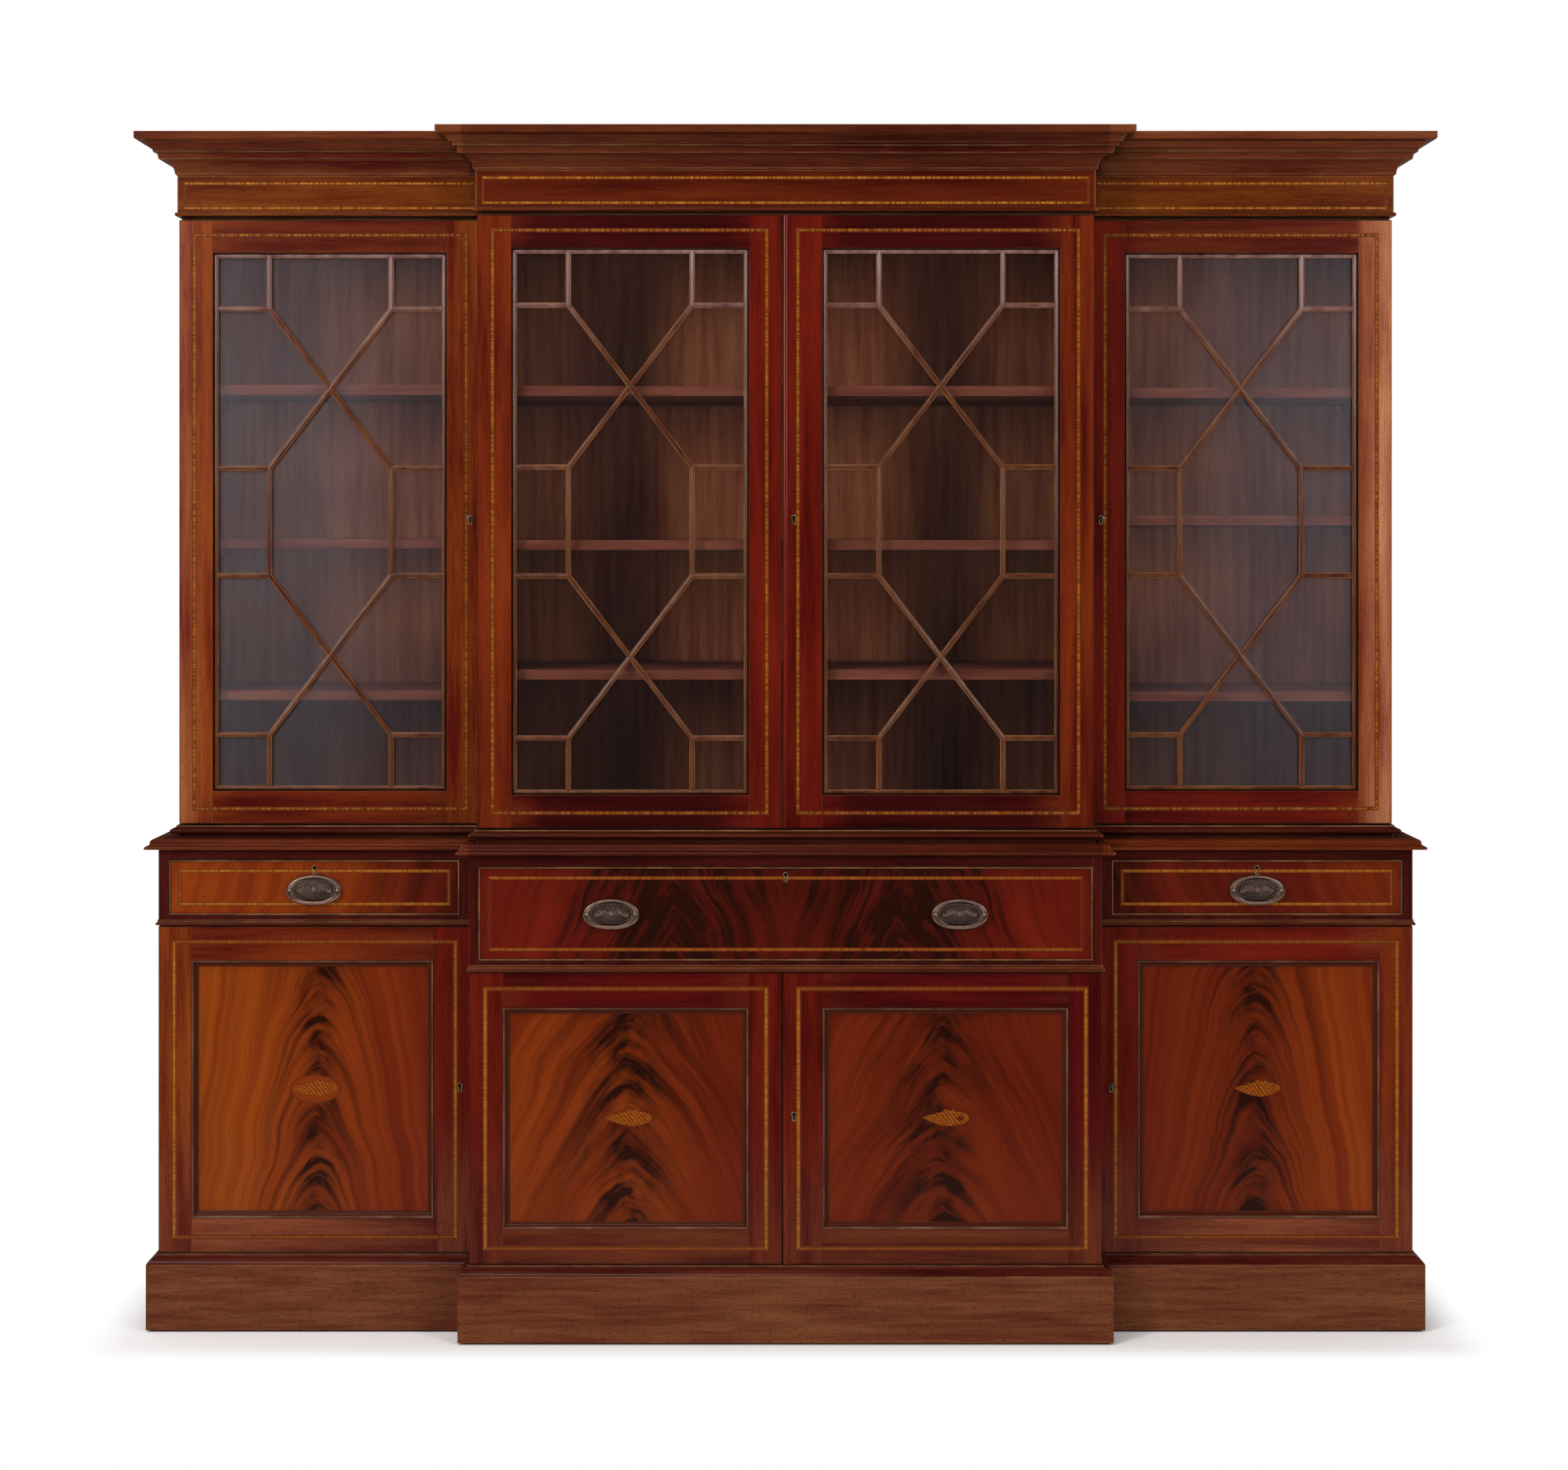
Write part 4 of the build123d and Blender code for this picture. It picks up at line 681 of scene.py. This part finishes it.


# Old sheet glass: clear and a little wavy, under a thin film of dust and painted reflection that veils what
# stands behind it. The film is thickest at the outer and the lower panes, where it paints the reflection
# strongest. Light goes straight through to the shelves.
def oldGlass(name, film, amount):
    material, tree, shader, (x, y, z) = newMaterial(name)
    shader.inputs["Base Color"].default_value = colour(glassSet["tint"])
    shader.inputs["Transmission Weight"].default_value = 1
    shader.inputs["Roughness"].default_value = glassSet["rough"]
    shader.inputs["IOR"].default_value = glassSet["ior"]
    size = glassSet["waveSize"]
    wave = noise(tree, x * size, y * size, z * size * 0.7, 1, 0.4)
    settings = {"Strength": glassSet["wave"], "Distance": glassSet["waveDepth"]}
    bump = addNode(tree, "ShaderNodeBump", settings, {"Height": wave})
    tree.links.new(bump.outputs[0], shader.inputs["Normal"])
    settings = {"Color": colour(film), "Roughness": glassSet["filmRough"]}
    dustAndSheen = addNode(tree, "ShaderNodeBsdfAnisotropic", settings)
    filmPatches = noise(tree, x * 5, y * 5, z * 3, 4, 0.6)
    outer = abs(x).step(*glassSet["filmOuter"]) * 0.5 + 0.65
    lower = z.step(*glassSet["filmLow"]) * 0.3 + 0.7
    share = ((filmPatches - 0.5) * amount * glassSet["filmPlay"] + amount) * (outer * lower)
    veiled = addNode(tree, "ShaderNodeMixShader", {}, {0: share, 1: shader.outputs[0], 2: dustAndSheen.outputs[0]})
    clear = addNode(tree, "ShaderNodeBsdfTransparent", {"Color": colour(glassSet["tint"])})
    rays = addNode(tree, "ShaderNodeLightPath").outputs
    straight = Field(tree, rays["Is Shadow Ray"]).math("MAXIMUM", Field(tree, rays["Is Diffuse Ray"]))
    mixed = addNode(tree, "ShaderNodeMixShader", {}, {0: straight, 1: veiled.outputs[0], 2: clear.outputs[0]})
    tree.links.new(mixed.outputs[0], tree.nodes["Material Output"].inputs["Surface"])
    return material


wingGlass = oldGlass("WingGlass", *glassSet["wing"])
centreGlass = oldGlass("CentreGlass", *glassSet["centre"])
for name in nodes:
    if name.endswith("_pane"):
        dress(name, centreGlass if "centre" in name else wingGlass)
print("metal and glass dressed")


# New pieces

# Quads of a grid of rows by columns
def gridQuads(rows, columns):
    index = np.arange(rows * columns).reshape(rows, columns)
    return np.stack([index[:-1, :-1], index[:-1, 1:], index[1:, 1:], index[1:, :-1]], -1).reshape(-1, 4)


# An object from points, quads and a UV place for each point, riding on a body
def addPiece(name, points, quads, uv, body, material):
    mesh = bpy.data.meshes.new(name)
    mesh.from_pydata(points.reshape(-1, 3).tolist(), [], quads.tolist())
    layer = mesh.uv_layers.new(name="Place")
    layer.data.foreach_set("uv", uv.reshape(-1, 2)[quads.ravel()].ravel())
    mesh.polygons.foreach_set("use_smooth", [True] * len(quads))
    mesh.materials.append(material)
    piece = bpy.data.objects.new(name, mesh)
    bpy.context.scene.collection.objects.link(piece)
    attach(piece, body)
    return piece


# The same from a grid: places are its x, y and z and uv its two UV fields, each spread over the whole grid
def addGrid(name, places, uv, body, material):
    x, y, z, u, v = np.broadcast_arrays(*places, *uv)
    points = np.stack([x, y, z], -1)
    return addPiece(name, points, gridQuads(*x.shape), np.stack([u, v], -1), body, material)


# Thickness of the doors, where their panels' faces lie in them, and how far cockbeads stand out
frontSet = {"frameThick": 0.022, "panelSunk": 0.010, "cockbead": 0.0018}

# Inlaid bands

# Inset and width of each kind of band, and where the bands of the frieze lie
bandSet = {
    "upper": (0.0250, 0.0072), "lower": (0.0250, 0.0088), "drawer": (0.0175, 0.0070),
    "frieze": (0.0110, 0.0060), "proud": 0.00015,
    "friezeSunk": 0.0045,   # from the frieze's box to its face
    "friezeFoot": 0.007,    # height of the bead under the frieze
    "centreEdge": 0.580, "breakDepth": 0.090,
}
bandBase = {
    "blocks": 420, "edge": 0.17, "play": 0.8, "drift": 0.6, "lineLight": "#5e240a", "lineDark": "#220a06",
    "lines": 0.75,
}
quietBand = {**bandBase, "play": 0.5}
bandLooks = {
    "upper": {
        **bandBase, "level": ("#52220a", "#703c12", "#8a561a"), "upright": ("#5e2c0c", "#74400e", "#8a5414"),
    },
    "lower": {
        **quietBand, "level": ("#5e280a", "#6c340c", "#7a4010"), "upright": ("#6e3a0c", "#844a10", "#96601a"),
    },
    "drawer": {
        **quietBand, "level": ("#68320c", "#864c10", "#9c621a"), "upright": ("#5a260c", "#6c3610", "#7c4212"),
    },
    "fall": {
        **quietBand, "level": ("#602808", "#7c400e", "#8e5012"), "upright": ("#541606", "#5a1c08", "#60220a"),
    },
    "frieze": {
        **bandBase, "level": ("#603008", "#885014", "#a4681c"), "upright": ("#56220a", "#602a0c", "#6c3410"),
    },
}


# Satinwood crossband between a dark and a light line: u runs along it in metres, v from 0 to 1 across it
def crossband(name, look):
    material, tree, shader, (u, v, w) = newMaterial(name, "UV")
    block = noise(tree, u * look["blocks"], 0.5, 0, 1, 0.5).step(0.30, 0.70)
    patch = noise(tree, u * 14, 0.5, 0, 3, 0.6)
    fibre = noise(tree, u * 1600, v * 1.5, 0, 2, 0.6)
    tone = (block - 0.5) * look["play"] + (patch - 0.5) * look["drift"] + (fibre - 0.5) * 0.5 + 0.5
    places = (0.1, 0.5, 0.9)
    along = ramp(tree, tone, list(zip(places, look["level"])))
    upwards = ramp(tree, tone, list(zip(places, look["upright"])))
    tint = over(tree, along, upwards, u.math("GREATER_THAN", 10))
    edge = abs(v - 0.5)
    light = edge.step(0.48 - look["edge"], 0.5 - look["edge"])
    dark = abs(edge - (0.5 - look["edge"] * 1.1)).below(look["edge"] * 0.35)
    tint = over(tree, tint, look["lineLight"], light * look["lines"])
    tint = over(tree, tint, look["lineDark"], dark * look["lines"])
    tree.links.new(tint, shader.inputs["Base Color"])
    polished(tree, shader, polish, u, v, w)
    return material


bandWoods = {name: crossband("Crossband-" + name, look) for name, look in bandLooks.items()}


# A band round a rectangle, four strips mitred at the corners. Upright strips have u over 10.
def bandRing(name, body, low, high, face, width, material):
    outer = np.array([(low[0], low[1]), (high[0], low[1]), (high[0], high[1]), (low[0], high[1])])
    inner = outer + np.array([(1, 1), (-1, 1), (-1, -1), (1, -1)]) * width
    points = []
    places = []
    for i in range(4):
        j = (i + 1) % 4
        length = np.linalg.norm(outer[j] - outer[i])
        strip = np.array([outer[i], outer[j], inner[i], inner[j]])
        points.append(np.stack([strip[:, 0], np.full(4, face), strip[:, 1]], -1))
        shift = i * 0.37 + (20 if i % 2 else 0)
        ends = [(shift, 0), (shift + length, 0), (shift + width, 1), (shift + length - width, 1)]
        places.append(np.array(ends))
    quads = np.array([[4 * i, 4 * i + 1, 4 * i + 3, 4 * i + 2] for i in range(4)])
    return addPiece(name, np.array(points), quads, np.array(places), body, material)


# The two corners of a box seen from the front, drawn in by an inset
def cornersIn(low, high, inset):
    return (low.x + inset, low.z + inset), (high.x - inset, high.z - inset)


for door in doorBoards:
    low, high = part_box(door + "_door_frame")
    face = high.y - frontSet["frameThick"] - bandSet["proud"]
    stage = door.split("_")[0]
    inset, width = bandSet[stage]
    bandRing("band_" + door, door + "_door", *cornersIn(low, high, inset), face, width, bandWoods[stage])
inset, width = bandSet["drawer"]
for name in ("left_drawer", "right_drawer", "centre_fall"):
    low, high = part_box(name + "_front")
    face = low.y + frontSet["cockbead"] - bandSet["proud"]
    kind = "fall" if name == "centre_fall" else "drawer"
    bandRing("band_" + name, name, *cornersIn(low, high, inset), face, width, bandWoods[kind])
low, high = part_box("frieze")
inset, width = bandSet["frieze"]
centreEdge = bandSet["centreEdge"]
sunk = bandSet["friezeSunk"]
centreFace = low.y + sunk - bandSet["proud"]
wingFace = centreFace + bandSet["breakDepth"]
foot = low.z + bandSet["friezeFoot"] + inset * 0.5
for name, left, right, face in (
    ("left", low.x + sunk, -centreEdge, wingFace),
    ("centre", -centreEdge, centreEdge, centreFace),
    ("right", centreEdge, high.x - sunk, wingFace),
):
    ends = ((left + inset, foot), (right - inset, high.z - inset))
    bandRing("band_frieze_" + name, "carcase", *ends, face, width, bandWoods["frieze"])
print("bands laid")

# Shells let into the door panels

shellSet = {
    "length": 0.086, "height": 0.034, "ribs": 11,
    "lobed": 0.65,          # share of the lobes in the upper edge
    "mouth": 0.56,          # where along it the lower edge turns up to the mouth
    "belly": 0.85,          # depth of the lower edge beside the upper one
    "ovalLong": 0.0485, "ovalShort": 0.0265,
    "ground": 0.00008, "proud": 0.00016,
}

# Lobes of a shell's upper edge: place along it, reach each way and height
shellLobes = [
    (0.16, 0.16, 0.28), (0.33, 0.12, 0.55), (0.49, 0.12, 1.0), (0.63, 0.12, 0.95), (0.82, 0.18, 0.66),
]

shellTones = {
    "wood": [(0.1, "#4e1c04"), (0.45, "#723604"), (0.85, "#905012")], "mouth": "#3a1408", "edge": "#5a2408",
    "ovalEdge": "#4a1c0a",
}

# Place of each shell across and up, the bluntness of its mouth end and how dark the mouth is
shellPlan = {
    "lower_left": (-0.8900, 0.4530, 1.0, 0),
    "lower_centre_left": (-0.2920, 0.4150, 0.55, 0),
    "lower_centre_right": (0.2992, 0.4150, 0.5, 0.8),
    "lower_right": (0.8942, 0.4530, 0.9, 0),
}


# Shaded satinwood shell: u from the tip to the mouth, v from -1 under to 1 over, ribs slanting across
def shellWood(name, mouthDark):
    material, tree, shader, (u, v, w) = newMaterial(name, "UV")
    rib = abs(((v * 0.13 + u) * math.pi * shellSet["ribs"]).math("SINE"))
    scorch = noise(tree, u * 9, v * 3, 0, 3, 0.6)
    fibre = noise(tree, u * 30, v * 60, 4, 2, 0.6)
    tone = rib * 0.6 + (scorch - 0.5) * 1.2 + (fibre - 0.5) * 0.5 + 0.05
    tint = ramp(tree, tone, shellTones["wood"])
    mouth = ((u - 0.80) / 0.09) ** 2 + (v / 0.4) ** 2
    tint = over(tree, tint, shellTones["mouth"], mouth.step(1.1, 0.5) * mouthDark)
    tint = over(tree, tint, shellTones["edge"], abs(v).step(0.86, 1.0) * 0.6)
    tree.links.new(tint, shader.inputs["Base Color"])
    polished(tree, shader, polish, u, v, w)
    return material


# Front of a door's panel
def panelFace(door):
    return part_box(door + "_door_frame")[1].y - frontSet["frameThick"] + frontSet["panelSunk"]


# A shell with its tip at the left. Its upper edge is a smooth swell with the lobes on it: each lobe is a
# half ellipse, and the highest of them counts. The lower edge is one long curve, sin(pi * t ** 1.2), which
# is blunter towards the mouth.
def shellInlay(door, spot, blunt, material):
    t = np.linspace(0, 1, 145)[:, None]
    s = np.linspace(-1, 1, 17)[None, :]
    lobes = []
    for at, reach, high in shellLobes:
        lobes.append(high * np.sqrt(np.clip(1 - ((t - at) / reach) ** 2, 0, None)))
    swell = np.sin(math.pi * t ** 1.2).clip(0, 1)
    upper = (1 - shellSet["lobed"]) * swell ** 0.45 + shellSet["lobed"] * np.maximum.reduce(lobes)
    lower = np.where(t < shellSet["mouth"], swell ** 0.8, swell ** blunt) * shellSet["belly"]
    x = spot[0] + (t - 0.5) * shellSet["length"]
    y = panelFace(door) - shellSet["proud"]
    z = spot[1] + np.where(s > 0, upper, lower) * s * shellSet["height"] / 2
    addGrid("inlay_" + door, (x, y, z), (t, s), door + "_door", material)


# The oval that a shell lies in: rings of an ellipse, mahogany with a dark line at its rim
def shellOval(door, spot, tones):
    r = np.linspace(0.02, 1, 17)[:, None]
    turn = np.linspace(0, 2 * math.pi, 97)[None, :]
    x = spot[0] + shellSet["ovalLong"] * r * np.cos(turn)
    y = panelFace(door) - shellSet["ground"]
    z = spot[1] + shellSet["ovalShort"] * r * np.sin(turn)
    material, tree, shader, (u, v, w) = newMaterial("OvalMahogany", "UV")
    fibre = noise(tree, v * 30, u * 9, 0, 3, 0.6)
    tint = ramp(tree, fibre, [(0.25, tones[2]), (0.5, tones[1]), (0.75, tones[0])])
    tint = over(tree, tint, shellTones["ovalEdge"], u.step(0.92, 0.96) * 0.8)
    tree.links.new(tint, shader.inputs["Base Color"])
    polished(tree, shader, polish, u, v, w)
    addGrid("oval_" + door, (x, y, z), (r, turn), door + "_door", material)


for door, (x, z, blunt, mouthDark) in shellPlan.items():
    shellInlay(door, (x, z), blunt, shellWood("ShadedSatinwood-" + door, mouthDark))
ovalTones = [mahogany[name] for name in ("amber", "chestnut", "sorrel")]
shellOval("lower_left", shellPlan["lower_left"][:2], ovalTones)
print("shells laid")

# Oval handles: stamped plates and their bails

handleSet = {
    "plateLong": 0.052, "plateShort": 0.0275, "domeLong": 0.0432, "domeShort": 0.0200,
    "ground": 0.0018, "rim": 0.0024, "rimShare": 0.11, "dome": 0.0040, "crown": 0.0012,
    "beads": 46, "beadSize": 0.0010, "beadShare": 0.90, "leaf": 0.0008, "chasing": 0.0004,
    "post": 0.045, "postReach": 0.0122, "headRadius": 0.0033, "headFlat": 0.7, "standOff": 0.0095,
    "bailHalf": 0.05035, "bailDrop": 0.0245, "bailThin": 0.0019, "bailThick": 0.0036, "bow": 0.84,
    "pinInner": 0.003, "pinOuter": 0.0012, "pinRise": 0.0004, "pinThin": 0.0013, "pinThick": 0.0023,
    "edge": 0.0001,         # how far the plate's outermost edge stays out of the face
    "wingDrop": 0.004,      # how far the wing handles hang below the middle of their drawers
}

# The body that each handle is on
handleBodies = {
    "left_drawer": "left_drawer", "right_drawer": "right_drawer", "centre_left": "centre_fall",
    "centre_right": "centre_fall",
}

# Leaves of the stamped spray: place along and up, turn in degrees, length and width, in millimetres
sprayLeaves = [(0, 0, 0, 5, 5)]
for side in (-1, 1):
    for i in range(5):
        along = side * (8 + 5.2 * i)
        rise = 3.2 * math.sin(i * 1.1 + 0.4)
        sprayLeaves.append((along, rise, side * 20, 3.4, 1.2))
        sprayLeaves.append((along + side * 1.5, rise + 3.6 - 0.5 * i, side * 50, 3.0 - 0.3 * i, 1.1))
        sprayLeaves.append((along + side * 1.5, rise - 3.6 + 0.5 * i, side * -40, 3.0 - 0.3 * i, 1.1))


# Plate surface over an ellipse. From the middle outwards: a crowned dome with the stamped spray on a chased
# ground, |sin * sin|, and a ring of beads, a step down, and a rolled rim that falls to the face.
def handlePlate(name, body, centre):
    h = handleSet
    r = np.linspace(0.001, 1, 73)[:, None]
    turn = np.linspace(0, 2 * math.pi, 369)[None, :]
    across = h["plateLong"] * r * np.cos(turn)
    up = h["plateShort"] * r * np.sin(turn)
    domeShare = np.sqrt((across / h["domeLong"]) ** 2 + (up / h["domeShort"]) ** 2)
    edge = np.clip((1.05 - domeShare) / 0.05, 0, 1)
    dome = h["dome"] + h["crown"] * np.clip(1 - domeShare ** 2, 0, None)
    height = h["ground"] + (dome - h["ground"]) * edge * edge * (3 - 2 * edge)
    roll = np.clip(1 - ((r - (1 - h["rimShare"])) / h["rimShare"]) ** 2, 0, None)
    height = height + h["rim"] * np.sqrt(roll)
    wear = 0.16 * edge + 0.95 * roll
    beadTurn = np.arange(h["beads"]) * 2 * math.pi / h["beads"]
    beadX = h["beadShare"] * h["domeLong"] * np.cos(beadTurn)
    beadZ = h["beadShare"] * h["domeShort"] * np.sin(beadTurn)
    far = (across[..., None] - beadX) ** 2 + (up[..., None] - beadZ) ** 2
    bead = np.sqrt(np.clip(h["beadSize"] ** 2 - far.min(-1), 0, None))
    height = height + bead
    wear = wear + 0.6 * bead / h["beadSize"]
    for along, rise, lean, long, short in sprayLeaves:
        angle = math.radians(lean)
        dx = across * 1000 - along
        dz = up * 1000 - rise
        u = (dx * math.cos(angle) + dz * math.sin(angle)) / long
        v = (dz * math.cos(angle) - dx * math.sin(angle)) / short
        leaf = np.sqrt(np.clip(1 - u * u - v * v, 0, None))
        height = height + h["leaf"] * leaf
        wear = wear + 0.55 * leaf
    chased = np.abs(np.sin(across * 1900 + np.sin(up * 2300)) * np.sin(up * 2100 + np.sin(across * 1700)))
    inner = np.clip((0.78 - domeShare) / 0.05, 0, 1)
    height = height + h["chasing"] * chased * inner
    wear = wear + 0.3 * chased ** 3 * inner
    height[-1] = h["edge"]
    places = (centre[0] + across, centre[1] - height, centre[2] + up)
    addGrid(name, places, (np.clip(wear, 0, 1), r), body, handleMetal)


# A tube of changing radius along points in the plane of the front, as the x, y and z of a ring round each
def sweptRod(path, radius, y):
    way = np.gradient(path, axis=0)
    way = way / np.linalg.norm(way, axis=1)[:, None]
    out = np.stack([-way[:, 1], way[:, 0]], -1)
    turn = np.linspace(0, 2 * math.pi, 17)
    ring = out[:, None, :] * (radius[:, None, None] * np.cos(turn)[None, :, None])
    points = path[:, None, :] + ring
    return points[..., 0], y + radius[:, None] * np.sin(turn)[None, :], points[..., 1]


# Bail: pins turned in to the posts, then a flattened half ellipse that is thickest at the bottom. Its
# width is half * cos ** bow and its drop is drop * sin ** bow.
def handleBail(name, node, body, centre):
    h = handleSet
    t = np.linspace(0, math.pi, 97)
    bow = np.stack([
        h["bailHalf"] * np.sign(np.cos(t)) * np.abs(np.cos(t)) ** h["bow"],
        -h["bailDrop"] * np.sin(t) ** h["bow"],
    ], -1)
    ends = np.linspace(h["post"] - h["pinInner"], h["bailHalf"] - h["pinOuter"], 6)
    start = np.stack([ends, np.full(6, h["pinRise"])], -1)
    path = np.concatenate([start, bow, start[::-1] * (-1, 1)])
    thick = h["bailThin"] + (h["bailThick"] - h["bailThin"]) * np.sin(t) ** 4
    eye = np.linspace(h["pinThin"], h["pinThick"], 6)
    radius = np.concatenate([eye, thick, eye[::-1]])
    places = [way + shift for way, shift in zip(sweptRod(path, radius, -h["standOff"]), centre)]
    # The bail is lighter towards its thick bottom: a painted highlight of the brass
    share = np.clip(radius / h["bailThick"], 0, 1)[:, None]
    piece = addGrid(name, places, (share * 0.9 + 0.1, share), body, handleMetal)
    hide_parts(node)


# Round head of a post: a low dome turned about its axis
def postHead(name, body, centre):
    a = np.linspace(0.02, math.pi / 2, 9)[:, None]
    turn = np.linspace(0, 2 * math.pi, 25)[None, :]
    radius = handleSet["headRadius"]
    x = centre[0] + radius * np.sin(a) * np.cos(turn)
    y = centre[1] - radius * handleSet["headFlat"] * np.cos(a)
    z = centre[2] + radius * np.sin(a) * np.sin(turn)
    addGrid(name, (x, y, z), (1, a), body, postMetal)


handleMetal = metal("HandleBronze", handleLook, True)
postMetal = metal("PostBrass", {**handleLook, "bright": "#9a8068", "rough": 0.3}, True)
for name, body in handleBodies.items():
    bail = name + "_bail"
    low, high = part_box(bail)
    frontLow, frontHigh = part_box(body + "_front")
    face = frontLow.y + frontSet["cockbead"]
    middle = (low.x + high.x) / 2
    centreHeight = (frontLow.z + frontHigh.z) / 2
    if body != "centre_fall":
        centreHeight = centreHeight - handleSet["wingDrop"]
    handlePlate("plate_" + name, body, (middle, face, centreHeight))
    handleBail("bail_" + name, bail, bail + "_swing", (middle, face, centreHeight))
    for side, sign in (("left", -1), ("right", 1)):
        head = (middle + sign * handleSet["post"], face - handleSet["postReach"], centreHeight)
        postHead("post_" + name + "_" + side, body, head)
print("handles made")

# Floor, light and surroundings

stageSet = {
    "floor": "#ffffff", "floorRough": 0.9, "floorShine": 0.1, "gloss": "#fff8f4",
    "lamp": "#fffafa", "key": 120, "fill": 80, "top": 50,
    "shadow": 0.11,         # how far out the shadow on the floor shows
    "ambient": 0.55, "room": 0.03, "glossNear": 0.4, "glossFar": 0.04, "glossReach": (-2.6, -1.2),
}
bpy.ops.mesh.primitive_plane_add(size=40, location=(0, 0, 0))
floor = bpy.context.object
floor.name = "Floor"


# White floor that fades into the white ground of the picture away from the plinth. In the polish it looks
# dim, brightest at the foot of the piece.
def floorPaint():
    material, tree, shader, (x, y, z) = newMaterial("FloorPaint")
    shader.inputs["Base Color"].default_value = colour(stageSet["floor"])
    shader.inputs["Roughness"].default_value = stageSet["floorRough"]
    shader.inputs["Specular IOR Level"].default_value = stageSet["floorShine"]
    low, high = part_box("plinth_boards")
    outX = (abs(x) - high.x).math("MAXIMUM", 0)
    outY = (abs(y) + low.y).math("MAXIMUM", 0)
    away = (outX ** 2 + outY ** 2) ** 0.5
    rays = addNode(tree, "ShaderNodeLightPath").outputs
    fade = away.step(0, stageSet["shadow"]) * Field(tree, rays["Is Camera Ray"])
    white = addNode(tree, "ShaderNodeEmission", {"Color": colour(stageSet["floor"]), "Strength": 1.0})
    gain = stageSet["glossNear"] - stageSet["glossFar"]
    near = y.step(*stageSet["glossReach"]) * gain + stageSet["glossFar"]
    dim = addNode(tree, "ShaderNodeEmission", {"Color": colour(stageSet["gloss"])}, {"Strength": near})
    seen = addNode(tree, "ShaderNodeMixShader", {}, {0: fade, 1: shader.outputs[0], 2: white.outputs[0]})
    glossy = rays["Is Glossy Ray"]
    mixed = addNode(tree, "ShaderNodeMixShader", {}, {0: glossy, 1: seen.outputs[0], 2: dim.outputs[0]})
    tree.links.new(mixed.outputs[0], tree.nodes["Material Output"].inputs["Surface"])
    return material


floor.data.materials.append(floorPaint())


# A soft area light aimed at a point
def softLight(name, place, target, size, watts):
    lamp = bpy.data.objects.new(name, bpy.data.lights.new(name, "AREA"))
    lamp.data.shape = "RECTANGLE"
    lamp.data.size, lamp.data.size_y = size
    lamp.data.energy = watts
    lamp.data.color = colour(stageSet["lamp"])[:3]
    bpy.context.scene.collection.objects.link(lamp)
    lamp.location = place
    way = [t - p for t, p in zip(target, place)]
    lean = math.atan2(math.hypot(way[0], way[1]), -way[2])
    lamp.rotation_euler = (lean, 0, math.atan2(way[1], way[0]) - math.pi / 2)


softLight("KeyLeft", (-3.1, -4.2, 2.6), (-0.2, 0, 1.1), (0.7, 1.8), stageSet["key"])
softLight("FillRight", (3.1, -4.2, 2.4), (0.2, 0, 1.1), (0.9, 1.8), stageSet["fill"])
softLight("TopFront", (-1.2, -2.6, 4.2), (0, 0, 1.2), (3.0, 0.6), stageSet["top"])

world = bpy.data.worlds.new("Studio")
bpy.context.scene.world = world
world.use_nodes = True
worldTree = world.node_tree
background = worldTree.nodes["Background"]
rays = addNode(worldTree, "ShaderNodeLightPath").outputs
strength = Field(worldTree, rays["Is Camera Ray"]) * (1 - stageSet["ambient"]) + stageSet["ambient"]
gloss = Field(worldTree, rays["Is Glossy Ray"]) * (stageSet["room"] - stageSet["ambient"])
worldTree.links.new((strength + gloss).socket, background.inputs["Strength"])
background.inputs["Color"].default_value = colour(stageSet["floor"])
print("studio lit")
